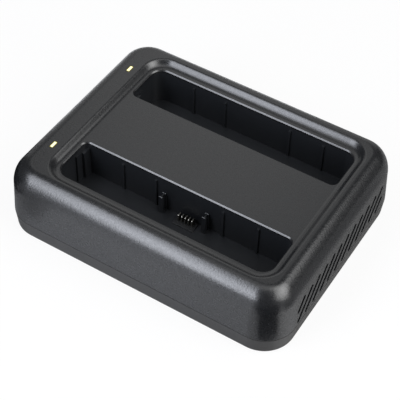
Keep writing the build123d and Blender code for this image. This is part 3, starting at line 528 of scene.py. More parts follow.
def bridge(shape: BMesh, loops: list[list[BMVert]]) -> None:
    """Join each loop of vertices to the next one with four-sided faces.

    Args:
        shape: The shape that holds the loops.
        loops: Two loops or more, all with the same count.
    """
    for low, high in zip(loops, loops[1:]):
        for side in range(len(low)):
            after = (side + 1) % len(low)
            shape.faces.new((low[side], low[after], high[after], high[side]))


def keep(shape: BMesh, name: str) -> Mesh:
    """Make a mesh of a finished shape.

    Args:
        shape: The shape, which is freed.
        name: The mesh's name.

    Returns:
        The mesh.
    """
    mesh = bpy.data.meshes.new(name)
    shape.to_mesh(mesh)
    shape.free()
    return mesh


def lathe(name: str, outline: list[Plan], sides: int) -> Mesh:
    """Turn an outline about the vertical into a closed shape.

    Args:
        name: The mesh's name.
        outline: Radius and height of each ring in millimetres, from the bottom to the top; the first and
            last ring are capped.
        sides: How many sides a ring has.

    Returns:
        The mesh, in metres.
    """
    shape = bmesh.new()
    rings = [loop(shape, circle(radius, sides), height) for radius, height in outline]
    bridge(shape, rings)
    shape.faces.new(rings[0][::-1])
    shape.faces.new(rings[-1])
    return keep(shape, name)


# ---- Geometry Nodes ---------------------------------------------------------------------------------
class ShapeTree:
    """A Geometry Nodes tree with named inputs, run once and kept as a plain mesh."""

    def __init__(self, name: str) -> None:
        """Start the tree.

        Args:
            name: Name of the tree and of the piece that it makes.
        """
        self.name = name
        self.tree = bpy.data.node_groups.new(name, "GeometryNodeTree")
        self.add: Adder = partial(add_node, self.tree)
        for way in ("INPUT", "OUTPUT"):
            self.tree.interface.new_socket("Geometry", in_out=way, socket_type="NodeSocketGeometry")
        self.inlet = self.add("NodeGroupInput")
        self.values: dict[str, object] = {}
        self.helpers: list[Object] = []

    def value(self, label: str, value: object, kind: str = "NodeSocketFloat") -> NodeSocket:
        """Add a named input.

        Args:
            label: The input's name.
            value: Its value.
            kind: The input's socket type.

        Returns:
            The input's socket inside the tree.
        """
        made = self.tree.interface.new_socket(label, in_out="INPUT", socket_type=kind)
        self.values[made.identifier] = value
        return self.inlet.outputs[label]

    def size(self, label: str, millimetres: float) -> NodeSocket:
        """Add a named input for a length."""
        return self.value(label, millimetres * MM)

    def count(self, label: str, number: int) -> NodeSocket:
        """Add a named input for a whole number."""
        return self.value(label, number, "NodeSocketInt")

    def unit(self, mesh: Mesh) -> NodeSocket:
        """Bring in a mesh that the tree repeats.

        Args:
            mesh: The repeated shape, around its own origin.

        Returns:
            The shape's geometry inside the tree.
        """
        helper = bpy.data.objects.new(f"{self.name}_unit", mesh)
        self.helpers.append(helper)
        socket = self.value("Unit", helper, "NodeSocketObject")
        return self.add("GeometryNodeObjectInfo", {"Object": socket}).outputs["Geometry"]

    def wire(self, curve: Feed, radius: NodeSocket, sides: int = 8) -> Node:
        """Draw round wire along a curve.

        Args:
            curve: The wire's middle line.
            radius: The wire's radius.
            sides: How many sides its section has.

        Returns:
            The node that gives the wire's surface.
        """
        section = self.add("GeometryNodeCurvePrimitiveCircle", {"Resolution": sides, "Radius": radius})
        return self.add("GeometryNodeCurveToMesh", {"Curve": curve, "Profile Curve": section, "Fill Caps": True})

    def rounded(self, width: NodeSocket, height: NodeSocket, corner: float, steps: int = 3) -> Node:
        """Draw a rectangle with round corners.

        Args:
            width: Its width.
            height: Its height.
            corner: The corners' radius in millimetres.
            steps: How many points a corner has.

        Returns:
            The node that gives the closed curve.
        """
        sides = self.add("GeometryNodeCurvePrimitiveQuadrilateral", {"Width": width, "Height": height})
        fillet = {"Curve": sides, "Radius": corner * MM, "Count": steps}
        return self.add("GeometryNodeFilletCurve", fillet, mode="POLY")

    def around(self, shape: Feed, count: NodeSocket, radius: Feed | float) -> Node:
        """Repeat a shape around a ring, its X axis outwards.

        Args:
            shape: The repeated shape.
            count: How many there are.
            radius: The ring's radius, in metres.

        Returns:
            The node that gives the ring of shapes.
        """
        ring = self.add("GeometryNodeMeshCircle", {"Vertices": count, "Radius": radius})
        place = self.add("GeometryNodeInputPosition")
        outward = self.add("FunctionNodeAlignRotationToVector", {"Vector": place}, axis="X")
        return self.add("GeometryNodeInstanceOnPoints", {"Points": ring, "Instance": shape, "Rotation": outward})

    def run(self, shape: Feed, places: list[Vector], finish: Finish, turns: list[Point] | None = None) -> Object:
        """End the tree with its shape at every place, run it and keep the result as a piece.

        Args:
            shape: The geometry that stands at each place.
            places: The places, in metres.
            finish: The piece's finish.
            turns: Euler turns in radians, one for each place; none at all leaves them unturned.

        Returns:
            The piece.
        """
        base = bpy.data.meshes.new(f"{self.name}_places")
        base.from_pydata([tuple(p) for p in places], [], [])
        turn = base.attributes.new("turn", "FLOAT_VECTOR", "POINT")
        for index, value in enumerate(turns or [(0.0, 0.0, 0.0)] * len(places)):
            turn.data[index].vector = value

        points = self.add("GeometryNodeMeshToPoints", {"Mesh": self.inlet.outputs["Geometry"]})
        turned = self.add("GeometryNodeInputNamedAttribute", {"Name": "turn"}, data_type="FLOAT_VECTOR")
        seats = {"Points": points, "Instance": shape, "Rotation": turned.outputs["Attribute"]}
        placed = self.add("GeometryNodeInstanceOnPoints", seats)
        real = self.add("GeometryNodeRealizeInstances", {"Geometry": placed})
        smooth = self.add("GeometryNodeSetShadeSmooth", {0: real, "Shade Smooth": True})
        angle = self.add("GeometryNodeInputMeshEdgeAngle").outputs["Unsigned Angle"]
        sharp = self.add("FunctionNodeCompare", {0: angle, 1: SHARP_EDGE}, operation="GREATER_THAN")
        crease = {0: smooth, "Selection": sharp, "Shade Smooth": False}
        creased = self.add("GeometryNodeSetShadeSmooth", crease, domain="EDGE")
        dressed = self.add("GeometryNodeSetMaterial", {0: creased, "Material": finish.worn()})
        self.add("NodeGroupOutput", {0: dressed})

        host = bpy.data.objects.new(f"{self.name}_host", base)
        for helper in (host, *self.helpers):
            link(helper)
        modifier = host.modifiers.new(self.name, "NODES")
        modifier.node_group = self.tree
        for identifier, value in self.values.items():
            modifier[identifier] = value
        graph = bpy.context.evaluated_depsgraph_get()
        mesh = bpy.data.meshes.new_from_object(host.evaluated_get(graph))
        mesh.name = self.name
        host.modifiers.remove(modifier)
        for helper in (host, *self.helpers):
            bpy.data.objects.remove(helper)

        piece = bpy.data.objects.new(self.name, mesh)
        link(piece)
        paint(piece, finish.worn())
        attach(piece, DOCK)
        log.info("built %s from %d faces", self.name, len(mesh.polygons))
        return piece


# ---- Studio -----------------------------------------------------------------------------------------
@dataclass(frozen=True)
class Softbox:
    """One soft area lamp, brightest at its heart and fading towards its edge.

    Angles are in degrees and sizes in metres. The heart and the reach of the fade are shares of the lamp.
    """

    name: str
    azimuth: float
    elevation: float
    size: Plan
    radiance: float
    lean: float = 0.0
    heart: Plan = (0.5, 0.5)
    reach: Plan = (0.6, 0.6)
    edge: float = 0.4
    distance: float = 1.3
    colour: str = "#FFFFFF"

    def diffuser(self, data: AreaLight) -> None:
        """Let the lamp's front cloth fade from its heart to its edge.

        Args:
            data: The lamp.
        """
        add = bare_tree(data)
        place = add("ShaderNodeNewGeometry").outputs["Parametric"]
        away = add("ShaderNodeVectorMath", {0: place, 1: (*self.heart, 0.0)}, operation="SUBTRACT")
        share = add("ShaderNodeVectorMath", {0: away, 1: (*self.reach, 1.0)}, operation="DIVIDE")
        far = add("ShaderNodeVectorMath", {0: share}, operation="LENGTH").outputs["Value"]
        fade = {"Value": far, "To Min": 1.0, "To Max": self.edge}
        strength = add("ShaderNodeMapRange", fade, interpolation_type="SMOOTHSTEP")
        cloth = add("ShaderNodeEmission", {"Color": WHITE, "Strength": strength})
        add("ShaderNodeOutputLight", {"Surface": cloth})

    def build(self, target: Vector) -> None:
        """Hang the lamp in its direction from the target, facing it.

        Args:
            target: The point that the lamp looks at.
        """
        data = bpy.data.lights.new(self.name, "AREA")
        data.shape = "RECTANGLE"
        data.size, data.size_y = self.size
        data.energy = self.radiance * math.pi * self.size[0] * self.size[1]
        data.color = linear(self.colour)[:3]
        self.diffuser(data)
        lamp = bpy.data.objects.new(self.name, data)
        link(lamp)
        turn, lift = math.radians(self.azimuth), math.radians(self.elevation)
        direction = Vector((math.cos(turn) * math.cos(lift), math.sin(turn) * math.cos(lift), math.sin(lift)))
        lamp.location = target + direction * self.distance
        roll = Quaternion((0, 0, 1), math.radians(self.lean))
        lamp.rotation_euler = (direction.to_track_quat("Z", "Y") @ roll).to_euler()


@dataclass(frozen=True)
class Card:
    """A sheet on the floor, seen only in reflections: a painted reflection, which casts no shadow and lights
    nothing.
    """

    name: str
    colour: str
    outline: tuple[Plan, ...]

    def build(self, height: float) -> None:
        """Lay the card.

        Args:
            height: Its height in metres.
        """
        face = bpy.data.materials.new(f"{self.name}_face")
        add = bare_tree(face)
        paper = add("ShaderNodeBsdfDiffuse", {"Color": linear(self.colour)})
        add("ShaderNodeOutputMaterial", {"Surface": paper})
        card = lay_flat(self.name, self.outline, height, face)
        card.visible_camera = card.visible_diffuse = card.visible_shadow = False


@dataclass
class Studio:
    """Pale floor, soft lamps and the camera.

    Sizes are in metres, the lens and its sensor in millimetres, and the camera's turn in degrees. The glossy
    share is how much of the white background a glossy reflection meets. The floor's paper is what the eye
    sees, and its table what the lamps light.
    """

    camera_place: Point = (0.31207, -0.53029, 0.69535)
    camera_turn: Point = (42.223, -1.483, 31.713)
    lens: float = 107.04
    sensor: float = 36.0
    clip_start: float = 0.01
    shift: Plan = (-0.01855, -0.01255)
    floor_size: float = 12.0
    clearance: float = 0.0002
    paper: str = "#F4F4F4"
    paper_glow: float = 0.9
    table: str = "#A9A9A9"
    table_satin: float = 0.1
    satin_roughness: float = 0.3
    world_strength: float = 0.045
    glossy_share: float = 0.02
    lamp_target: Point = (0.0, 0.0, 0.03)
    # Painted reflections of the floor, seen only in gloss: the corner, left and right sheets are painted shade
    # where the floor lies in the object's shadow, the grey front sheet is a painted reflection of the floor in
    # front, and the white back sheet is a painted reflection of lit floor.
    cards: tuple[Card, ...] = (
        Card("corner_flag", "#2C2C2C", ((0.108, -0.106), (0.07, -0.9), (0.95, -0.4), (0.135, -0.09))),
        Card("front_card", "#949494", ((-0.17, -0.1), (-0.1, -0.119), (-0.28, -0.6), (-0.65, -0.5))),
        Card("left_flag", "#080808", ((-0.8, -0.75), (-0.145, -0.15), (-0.15, 0.0), (-0.75, 0.2))),
        Card("right_flag", "#7C7C7C", ((0.17, -0.08), (0.8, -0.3), (0.8, 0.5), (0.16, 0.12))),
        Card("back_paper", "#FFFFFF", ((-0.16, 0.03), (0.03, 0.1), (-0.1, 0.7), (-0.75, 0.3))),
    )
    lamps: tuple[Softbox, ...] = (
        Softbox(
            "front_softbox", -115.5, 35.0, (0.64, 1.75), 7.4,
            lean=27.0, heart=(0.5, 0.33), reach=(0.95, 0.7), colour="#F1F5FF",
        ),
        Softbox("side_softbox", 3.5, 37.5, (1.18, 1.95), 4.7, lean=-31.0, reach=(0.64, 0.8), edge=0.2),
        Softbox("back_softbox", 120.0, 44.0, (0.78, 0.7), 0.76, lean=10.0, edge=0.6),
        Softbox("back_sweep", 120.0, 13.0, (1.7, 0.85), 0.5, edge=0.7),
        Softbox("top_softbox", -90.0, 86.0, (1.4, 1.2), 0.85, distance=1.5),
    )

    def camera(self) -> None:
        """Set the camera at its measured place."""
        data = bpy.data.cameras.new("studio_camera")
        data.lens = self.lens
        data.sensor_width = self.sensor
        data.shift_x, data.shift_y = self.shift
        data.clip_start = self.clip_start
        camera = bpy.data.objects.new("studio_camera", data)
        camera.location = self.camera_place
        camera.rotation_euler = Euler([math.radians(a) for a in self.camera_turn])
        link(camera)
        bpy.context.scene.camera = camera

    def background_share(self, add: Adder) -> Node:
        """Find how much of the white background a ray meets: all that is seen, and little of it in gloss.

        Args:
            add: add_node, bound to the tree of the floor's material or of the world.

        Returns:
            The node that gives the share, from 0 to 1.
        """
        ray = add("ShaderNodeLightPath").outputs
        clear = add("ShaderNodeMath", {0: ray["Is Camera Ray"], 1: ray["Is Transmission Ray"]}, operation="MAXIMUM")
        shares = {0: ray["Is Glossy Ray"], 1: self.glossy_share, 2: clear}
        return add("ShaderNodeMath", shares, operation="MULTIPLY_ADD", use_clamp=True)

    def floor(self) -> None:
        """Lay the pale floor: near white to the eye, and a duller, slightly satin grey in the lamps' light."""
        material = bpy.data.materials.new("white_paper_floor")
        add = bare_tree(material)
        paper = add("ShaderNodeBsdfDiffuse", {"Color": linear(self.paper)})
        glow = add("ShaderNodeEmission", {"Color": WHITE, "Strength": 1.0})
        seen = add("ShaderNodeMixShader", {0: self.paper_glow, 1: paper, 2: glow})
        dull = add("ShaderNodeBsdfDiffuse", {"Color": linear(self.table)})
        satin = add("ShaderNodeBsdfAnisotropic", {"Color": WHITE, "Roughness": self.satin_roughness})
        table = add("ShaderNodeMixShader", {0: self.table_satin, 1: dull, 2: satin})
        mix = add("ShaderNodeMixShader", {0: self.background_share(add), 1: table, 2: seen})
        add("ShaderNodeOutputMaterial", {"Surface": mix})
        half = self.floor_size / 2
        corners = ((-half, -half), (half, -half), (half, half), (-half, half))
        lay_flat("studio_floor", corners, -self.clearance, material)

    def world(self) -> None:
        """Fill the room with even white light."""
        world = bpy.data.worlds.new("studio_world")
        bpy.context.scene.world = world
        add = bare_tree(world)
        level = {"Value": self.background_share(add), "To Min": self.world_strength, "To Max": 1.0}
        room = add("ShaderNodeBackground", {"Color": WHITE, "Strength": add("ShaderNodeMapRange", level)})
        add("ShaderNodeOutputWorld", {"Surface": room})

    def build(self) -> None:
        """Set up the whole studio."""
        self.camera()
        self.floor()
        for card in self.cards:
            card.build(self.clearance)
        self.world()
        for lamp in self.lamps:
            lamp.build(Vector(self.lamp_target))
        bpy.context.scene.view_settings.view_transform = "Standard"


# ---- Sub-assemblies ---------------------------------------------------------------------------------
class SubAssembly:
    """A group of pieces that are built and dressed together."""

    finishes: dict[str, Finish] = {}

    def build(self) -> None:
        """Make the group's own pieces."""

    def dress(self) -> None:
        """Give the group's CAD nodes their finishes."""
        for node, finish in self.finishes.items():
            paint(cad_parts[node], finish.worn())
            log.info("dressed %s in %s", node, finish.name)


class Housing(SubAssembly):
    """Cover and base."""

    finishes = {"top_cover": COVER_ABS, "bottom_base": BASE_ABS}


class BatteryBays(SubAssembly):
    """The two bay tubs."""

    finishes = {"front_bay_tub": BAY_ABS, "rear_bay_tub": BAY_ABS}


SIDES = ("front", "rear")
CONTACTS = range(1, 6)
CONTACT_PARTS = {**dict.fromkeys(CONTACTS, CONTACT_PLATE), "block": BLOCK_NYLON, "board": BOARD_MASK}


@dataclass
class ContactSets(SubAssembly):
    """Contacts with their springs, blocks and boards. Sizes are in millimetres."""

    turns: float = 5.5
    wire: float = 0.3
    steps_per_turn: int = 22

    finishes = {f"{side}_contact_{part}": finish for side in SIDES for part, finish in CONTACT_PARTS.items()}

    def spring(self, side: str, number: int) -> None:
        """Wind one contact's spring, closer at its two ends.

        Args:
            side: Front or rear bay.
            number: The contact's number in its bay.
        """
        node = f"{side}_contact_spring_{number}"
        low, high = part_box(node)
        outer, height = round_size((low, high))

        coil = ShapeTree(f"{node}_coil")
        wire = coil.size("Wire Radius", self.wire / 2)
        rise = coil.size("Rise", height - self.wire)
        radius = coil.size("Coil Radius", outer - self.wire / 2)
        steps = coil.count("Steps per Turn", self.steps_per_turn)
        turns = coil.value("Turns", self.turns)
        path = {"Resolution": steps, "Rotations": turns}
        path |= {"Start Radius": radius, "End Radius": radius, "Height": rise}
        helix = coil.add("GeometryNodeCurveSpiral", path)
        climb = {"Value": coil.add("GeometryNodeSplineParameter"), "To Max": rise}
        closer = coil.add("ShaderNodeMapRange", climb, interpolation_type="SMOOTHSTEP")
        drawn = coil.add("ShaderNodeSeparateXYZ", {0: coil.add("GeometryNodeInputPosition")})
        place = coil.add("ShaderNodeCombineXYZ", {0: drawn.outputs[0], 1: drawn.outputs[1], 2: closer})
        wound = coil.add("GeometryNodeSetPosition", {"Geometry": helix, "Position": place})
        foot = centre((low, high), low.z + self.wire / 2 * MM)
        piece = coil.run(coil.wire(wound, wire), [foot], SPRING_WIRE)
        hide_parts(node)
        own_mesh(piece)

    def build(self) -> None:
        """Wind all the springs."""
        for side in SIDES:
            for number in CONTACTS:
                self.spring(side, number)


class StatusLamps(SubAssembly):
    """Lamp windows, lamps and their board."""

    finishes = {"led_board": BOARD_MASK, "status_leds": CREAM_NYLON}

    def dress(self) -> None:
        """Dress the board, and light each window around its own middle."""
        super().dress()
        for node in ("front_light_pipe", "rear_light_pipe"):
            paint(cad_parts[node], LitWindow().material(centre(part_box(node))))
            log.info("lit %s", node)


@dataclass(frozen=True)
class ScrewSize:
    """Sizes of one kind of thread-forming pan-head screw, in millimetres.

    The blunt tip, the recess's reach and its taper are shares. The step is how far each screw is turned
    past the one before, in radians.
    """

    head_radius: float
    head_height: float
    shank_radius: float
    pitch: float
    thread: float = 0.28
    point: float = 1.2
    bare_end: float = 1.5
    blunt: float = 0.25
    slot_width: float = 0.7
    slot_reach: float = 0.62
    slot_depth: float = 0.55
    slot_taper: float = 0.8
    round_off: float = 0.35
    sides: int = 14
    step: float = 0.7

    def head(self) -> Mesh:
        """Build the head with its cross recess and the bare shank root.

        Returns:
            The mesh: the recess faces down at height 0.
        """
        wide, shank = self.head_radius, self.shank_radius - self.thread / 2
        profile = [(wide - self.round_off, 0.0), (wide, self.round_off)]
        profile += [(wide, self.head_height), (shank, self.head_height)]
        reach, half = self.slot_reach * wide, self.slot_width / 2
        cross = [(half, half), (half, reach), (-half, reach), (-half, half), (-reach, half), (-reach, -half)]
        cross += [(-x, -y) for x, y in cross]
        shape = bmesh.new()
        rings = [loop(shape, circle(radius, 2 * self.sides, start=0.5), height) for radius, height in profile]
        mouth = loop(shape, cross, 0.0)
        floor = loop(shape, [(x * self.slot_taper, y * self.slot_taper) for x, y in cross], self.slot_depth)
        bridge(shape, rings)
        bridge(shape, [mouth, floor])
        shape.faces.new(floor)
        shape.faces.new(rings[-1])
        rims = []
        for points in (rings[0], mouth):
            for pair in zip(points, points[1:] + points[:1]):
                rims.append(shape.edges.get(pair) or shape.edges.new(pair))
        bmesh.ops.triangle_fill(shape, use_beauty=True, use_dissolve=False, edges=rims)
        bmesh.ops.recalc_face_normals(shape, faces=shape.faces)
        return keep(shape, "screw_head")

    def build(self, node: str, heads_up_below: float = -math.inf) -> None:
        """Build every screw of a CAD node: head, shank, rolled thread and point.

        Args:
            node: The node that holds the screws.
            heads_up_below: Screws that end below this height, in metres, have their heads on top, and the
                others at the bottom.
        """
        boxes = islands(node)
        length = round_size(boxes[0])[1] - self.head_height
        straight = length - self.point
        shape = ShapeTree(f"{node}_threaded")
        core = shape.size("Core Radius", self.shank_radius - self.thread / 2)
        rise = shape.size("Shank Length", length)
        turns = shape.value("Thread Turns", straight / self.pitch)
        ridge = shape.size("Thread Radius", self.thread / 2)
        head_height = shape.size("Head Height", self.head_height)

        path = {"Resolution": self.sides, "Rotations": turns}
        path |= {"Start Radius": core, "End Radius": core, "Height": rise}
        spiral = shape.wire(shape.add("GeometryNodeCurveSpiral", path), ridge, sides=3)
        short = (1, 1, 1 - self.bare_end / length)
        thread = shape.add("GeometryNodeTransform", {"Geometry": spiral, "Scale": short})
        ends = {"Radius Top": self.blunt * self.shank_radius * MM, "Radius Bottom": core, "Depth": self.point * MM}
        cone = shape.add("GeometryNodeMeshCone", {"Vertices": self.sides, **ends})
        tip = shape.add("GeometryNodeTransform", {"Geometry": cone, "Translation": (0, 0, straight * MM)})
        bar = {"Vertices": self.sides, "Radius": core, "Depth": straight * MM}
        rod = shape.add("GeometryNodeMeshCylinder", bar)
        stem = shape.add("GeometryNodeTransform", {"Geometry": rod, "Translation": (0, 0, straight / 2 * MM)})
        shank = shape.add("GeometryNodeJoinGeometry", {0: [thread, tip, stem]})
        lift = shape.add("ShaderNodeCombineXYZ", {"Z": head_height})
        lifted = shape.add("GeometryNodeTransform", {"Geometry": shank, "Translation": lift})
        whole = shape.add("GeometryNodeJoinGeometry", {0: [shape.unit(self.head()), lifted]})

        places, turned = [], []
        for index, box in enumerate(boxes):
            down = box[1].z > heads_up_below
            places.append(centre(box, box[0 if down else 1].z))
            turned.append((0.0 if down else math.pi, 0.0, self.step * index))
        piece = shape.run(whole, places, SCREW_ZINC, turned)
        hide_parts(node)


@dataclass
class Fasteners(SubAssembly):
    """Screws of the cover, the tubs and the boards. Sizes are in millimetres."""

    long_screw: ScrewSize = ScrewSize(2.9, 1.8, 1.5, 1.1)
    small_screw: ScrewSize = ScrewSize(2.0, 1.2, 1.1, 0.8, thread=0.22, slot_width=0.5, slot_depth=0.4)
    over_board: float = 3.0

    def build(self) -> None:
        """Build each kind of screw; the main board's have their heads on top."""
        self.long_screw.build("cover_screws")
        self.long_screw.build("tub_screws")
        self.small_screw.build("board_screws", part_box("main_board")[1].z + self.over_board * MM)


@dataclass
class Feet(SubAssembly):
    """Rubber feet: a rounded puck with a ring of short grip ribs under it.

    Sizes are in millimetres. The low edge goes in from the side and up from the ribs, and the top edge in
    from the side and down from the top.
    """

    rib_count: int = 20
    rib_length: float = 2.6
    rib_width: float = 0.7
    rib_depth: float = 0.45
    rib_ring: float = 4.6
    low_edge: tuple[Plan, ...] = ((0.9, 0.0), (0.25, 0.15), (0.0, 0.45))
    top_edge: tuple[Plan, ...] = ((0.0, 0.02), (0.1, 0.0))
    sides: int = 40

    def build(self) -> None:
        """Turn the puck, and repeat the ribs around it."""
        boxes = islands("rubber_feet")
        radius, height = round_size(boxes[0])
        outline = [(radius - side, self.rib_depth + up) for side, up in self.low_edge]
        outline += [(radius - side, height - down) for side, down in self.top_edge]
        shape = ShapeTree("grip_feet")
        count = shape.count("Rib Count", self.rib_count)
        ring = shape.size("Rib Ring Radius", self.rib_ring)
        end = shape.add("ShaderNodeCombineXYZ", {"X": shape.size("Rib Length", self.rib_length)})
        line = shape.add("GeometryNodeCurvePrimitiveLine", {"End": end})
        back = shape.add("ShaderNodeVectorMath", {0: end, "Scale": -0.5}, operation="SCALE")
        bar = shape.wire(line, shape.size("Rib Radius", self.rib_width / 2))
        rib = shape.add("GeometryNodeTransform", {"Geometry": bar, "Translation": back})
        ribs = {"Geometry": shape.around(rib, count, ring), "Translation": (0, 0, self.rib_width / 2 * MM)}
        puck = shape.unit(lathe("foot_puck", outline, self.sides))
        foot = shape.add("GeometryNodeJoinGeometry", {0: [puck, shape.add("GeometryNodeTransform", ribs)]})
        piece = shape.run(foot, [centre(box, box[0].z) for box in boxes], FOOT_RUBBER)
        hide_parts("rubber_feet")


class MainsInlet(SubAssembly):
    """Mains inlet with its pins."""

    finishes = {"mains_inlet": BLOCK_NYLON, "inlet_pins": NICKEL}


@dataclass
class MainBoard(SubAssembly):
    """Main board and what it carries.

    Sizes are in millimetres. The choke's pitch is in wire diameters, and the bore and the scores' reach are
    shares of a radius. The can edge is how far the disc stays inside the can. The leg's line goes out from
    the chip and up from the board.
    """

    choke_wire: float = 0.9
    choke_pitch: float = 1.08
    choke_steps: int = 24
    inductor_wire: float = 0.56
    inductor_turns: int = 30
    inductor_bore: float = 0.45
    core_gap: float = 0.1
    core_corner: float = 0.7
    turn_corner: float = 0.9
    ring_sides: int = 40
    chip_legs: int = 4
    leg_pitch: float = 1.27
    leg_line: tuple[Plan, ...] = ((-0.1, 0.7), (0.25, 0.7), (0.4, 0.55), (0.5, 0.2), (0.6, 0.1), (0.95, 0.1))
    leg_half: Plan = (0.2, 0.1)
    chip_part: Point = (2.0, 1.2, 0.6)
    part_ends: float = 0.5
    part_inset: float = 0.06
    part_field: Plan = (13.0, 38.0)
    part_pitch: Plan = (4.0, 3.1)
    part_gap: float = 1.6
    part_share: float = 0.62
    turned_share: float = 0.35
    seed: int = 11
    can_edge: float = 1.2
    can_disc: tuple[Plan, ...] = ((0.0, 0.0), (0.0, 0.06), (0.15, 0.12))
    can_sides: int = 36
    score_reach: float = 0.7
    score_radius: float = 0.18
    score_ring: float = 0.3
    scores: int = 3

    finishes = {
        "main_board": BOARD_MASK,
        "insulation_sheet": FILM,
        "fuse": FUSE_CERAMIC,
        "fuse_clips": NICKEL,
        "choke_core": FERRITE,
        "film_capacitor": BOX_CASE,
        "bridge_rectifier": EPOXY,
        "bulk_capacitor": SLEEVE,
        "transformer_core": FERRITE,
        "transformer_winding": TAPE,
        "heat_sink": EXTRUSION,
        "power_transistors": EPOXY,
        "output_capacitors": SLEEVE,
        "controller_chips": EPOXY,
    }

    def choke_coils(self) -> None:
        """Wind each leg of the mains choke with one layer of enamelled wire, and lead its start to the board."""
        boxes = islands("choke_windings")
        outer, height = round_size(boxes[0])
        wire = self.choke_wire
        foot = boxes[0][0].z + wire / 2 * MM
        shape = ShapeTree("choke_coils")
        radius = shape.size("Coil Radius", outer - wire / 2)
        rise = shape.size("Coil Height", height - wire)
        turns = shape.value("Turns", (height - wire) / (wire * self.choke_pitch))
        thick = shape.size("Wire Radius", wire / 2)
        path = {"Resolution": self.choke_steps, "Rotations": turns}
        path |= {"Start Radius": radius, "End Radius": radius, "Height": rise}
        spiral = shape.add("GeometryNodeCurveSpiral", path)
        start = shape.add("ShaderNodeCombineXYZ", {"X": radius})
        end = shape.add("ShaderNodeCombineXYZ", {"X": radius, "Z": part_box("main_board")[1].z - foot})
        lead = shape.add("GeometryNodeCurvePrimitiveLine", {"Start": start, "End": end})
        both = shape.add("GeometryNodeJoinGeometry", {0: [shape.wire(spiral, thick), shape.wire(lead, thick)]})
        turned = [(0.0, 0.0, math.pi / 2 * side) for side in (-1, 1)]
        piece = shape.run(both, [centre(box, foot) for box in boxes], ENAMEL, turned)
        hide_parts("choke_windings")

    def inductors(self) -> None:
        """Build the ring cores, and wind wire through and around each."""
        boxes = islands("charge_inductors")
        places = [centre(box) for box in boxes]
        outer, height = round_size(boxes[0])
        wire = self.inductor_wire
        bore = self.inductor_bore * outer
        room = 2 * wire + self.core_gap

        core = ShapeTree("inductor_cores")
        ring = core.size("Ring Radius", (outer + bore) / 2)
        wide = core.size("Ring Width", outer - bore - room)
        tall = core.size("Ring Height", height - room)
        path = core.add("GeometryNodeCurvePrimitiveCircle", {"Resolution": self.ring_sides, "Radius": ring})
        section = core.rounded(wide, tall, self.core_corner)
        body = core.add("GeometryNodeCurveToMesh", {"Curve": path, "Profile Curve": section, "Fill Caps": True})
        piece = core.run(body, places, FERRITE)
        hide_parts("charge_inductors")

        coil = ShapeTree("inductor_turns")
        ring = coil.size("Ring Radius", (outer + bore) / 2)
        wide = coil.size("Turn Width", outer - bore - wire)
        tall = coil.size("Turn Height", height - wire)
        count = coil.count("Turns", self.inductor_turns)
        thick = coil.size("Wire Radius", wire / 2)
        turn = coil.wire(coil.rounded(wide, tall, self.turn_corner), thick, sides=6)
        upright = coil.add("GeometryNodeTransform", {"Geometry": turn, "Rotation": (math.pi / 2, 0, 0)})
        coil.run(coil.around(upright, count, ring), places, ENAMEL)

    def leg(self) -> Mesh:
        """Build one gull-wing leg of a chip, pointing along Y from the chip's side.

        Returns:
            The mesh.
        """
        half, thick = self.leg_half
        section = ((-half, -thick), (half, -thick), (half, thick), (-half, thick))
        shape = bmesh.new()
        rings = [
            [shape.verts.new((x * MM, out * MM, (up + z) * MM)) for x, z in section] for out, up in self.leg_line
        ]
        bridge(shape, rings)
        shape.faces.new(rings[0])
        shape.faces.new(rings[-1])
        bmesh.ops.recalc_face_normals(shape, faces=shape.faces)
        return keep(shape, "chip_leg")

    def legs(self) -> None:
        """Give every chip a row of legs on both sides."""
        places, turned = [], []
        for low, high in islands("controller_chips"):
            for index in range(self.chip_legs):
                x = (low.x + high.x) / 2 + (index - (self.chip_legs - 1) / 2) * self.leg_pitch * MM
                places += [Vector((x, high.y, low.z)), Vector((x, low.y, low.z))]
                turned += [(0.0, 0.0, 0.0), (0.0, 0.0, math.pi)]
        shape = ShapeTree("chip_legs")
        shape.run(shape.unit(self.leg()), places, TINNED, turned)

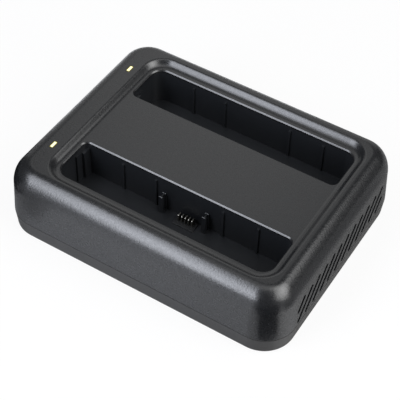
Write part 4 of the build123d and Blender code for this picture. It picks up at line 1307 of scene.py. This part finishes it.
    def small_parts(self) -> None:
        """Scatter small resistors with tinned ends over the free field past the chips."""
        chips_end = max(high.x for _, high in islands("controller_chips"))
        field = self.part_field
        middle = Vector((chips_end + (field[0] / 2 + self.part_gap) * MM, 0.0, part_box("main_board")[1].z))
        long, wide, tall = self.chip_part
        inset = self.part_inset
        looks = (
            ("resistor_bodies", (long - self.part_ends, wide, tall), EPOXY),
            ("resistor_ends", (long, wide - inset, tall - inset), TINNED),
        )
        for name, size, finish in looks:
            shape = ShapeTree(name)
            columns, rows = [
                shape.count(label, int(side / pitch) + 1)
                for label, side, pitch in zip(("Columns", "Rows"), field, self.part_pitch)
            ]
            share = shape.value("Share Kept", self.part_share)
            seed = shape.count("Seed", self.seed)
            spread = {"Size X": field[0] * MM, "Size Y": field[1] * MM, "Vertices X": columns, "Vertices Y": rows}
            grid = shape.add("GeometryNodeMeshGrid", spread)
            kept, swap = [
                shape.add("FunctionNodeRandomValue", {"Probability": odds, "Seed": seed}, data_type="BOOLEAN")
                for odds in (share, self.turned_share)
            ]
            side = shape.add("ShaderNodeMath", {0: swap.outputs[3], 1: math.pi / 2}, operation="MULTIPLY")
            turn = shape.add("ShaderNodeCombineXYZ", {"Z": side})
            part = shape.add("GeometryNodeMeshCube", {"Size": tuple(c * MM for c in size)})
            stand = {"Geometry": part, "Translation": (0, 0, size[2] / 2 * MM)}
            raised = shape.add("GeometryNodeTransform", stand)
            seats = {"Points": grid, "Selection": kept.outputs[3], "Instance": raised, "Rotation": turn}
            shape.run(shape.add("GeometryNodeInstanceOnPoints", seats), [middle], finish)

    def can_tops(self) -> None:
        """Lay a scored aluminium top on every electrolytic can."""
        for node, scale in (("bulk_capacitor", 1.0), ("output_capacitors", 0.6)):
            boxes = islands(node)
            radius = round_size(boxes[0])[0] - self.can_edge * scale
            disc = lathe("can_disc", [(radius - side, up) for side, up in self.can_disc], self.can_sides)
            shape = ShapeTree(f"{node}_tops")
            reach = shape.size("Score Reach", self.score_reach * radius)
            thick = shape.size("Score Radius", self.score_radius * scale)
            count = shape.count("Scores", self.scores)
            end = shape.add("ShaderNodeCombineXYZ", {"X": reach})
            line = shape.wire(shape.add("GeometryNodeCurvePrimitiveLine", {"End": end}), thick, sides=6)
            scores = shape.around(line, count, self.score_ring * MM)
            whole = shape.add("GeometryNodeJoinGeometry", {0: [shape.unit(disc), scores]})
            shape.run(whole, [centre(box, box[1].z) for box in boxes], EXTRUSION)

    def build(self) -> None:
        """Build the wound, legged and scattered parts."""
        self.choke_coils()
        self.inductors()
        self.legs()
        self.small_parts()
        self.can_tops()


class Wiring(SubAssembly):
    """Leads, headers and the mains terminal."""

    finishes = {
        "wire_headers": CREAM_NYLON,
        "mains_terminal": CREAM_NYLON,
        "mains_leads": PVC,
        "charge_leads": PVC,
        "lamp_leads": PVC,
    }


def main() -> None:
    """Build the studio and every sub-assembly in order."""
    logging.basicConfig(level=logging.INFO, format="%(message)s")
    Studio().build()
    for kind in (Housing, BatteryBays, ContactSets, StatusLamps, Fasteners, Feet, MainsInlet, MainBoard, Wiring):
        group = kind()
        group.build()
        group.dress()
        log.info("finished %s", kind.__name__)


if __name__ == "__main__":
    main()
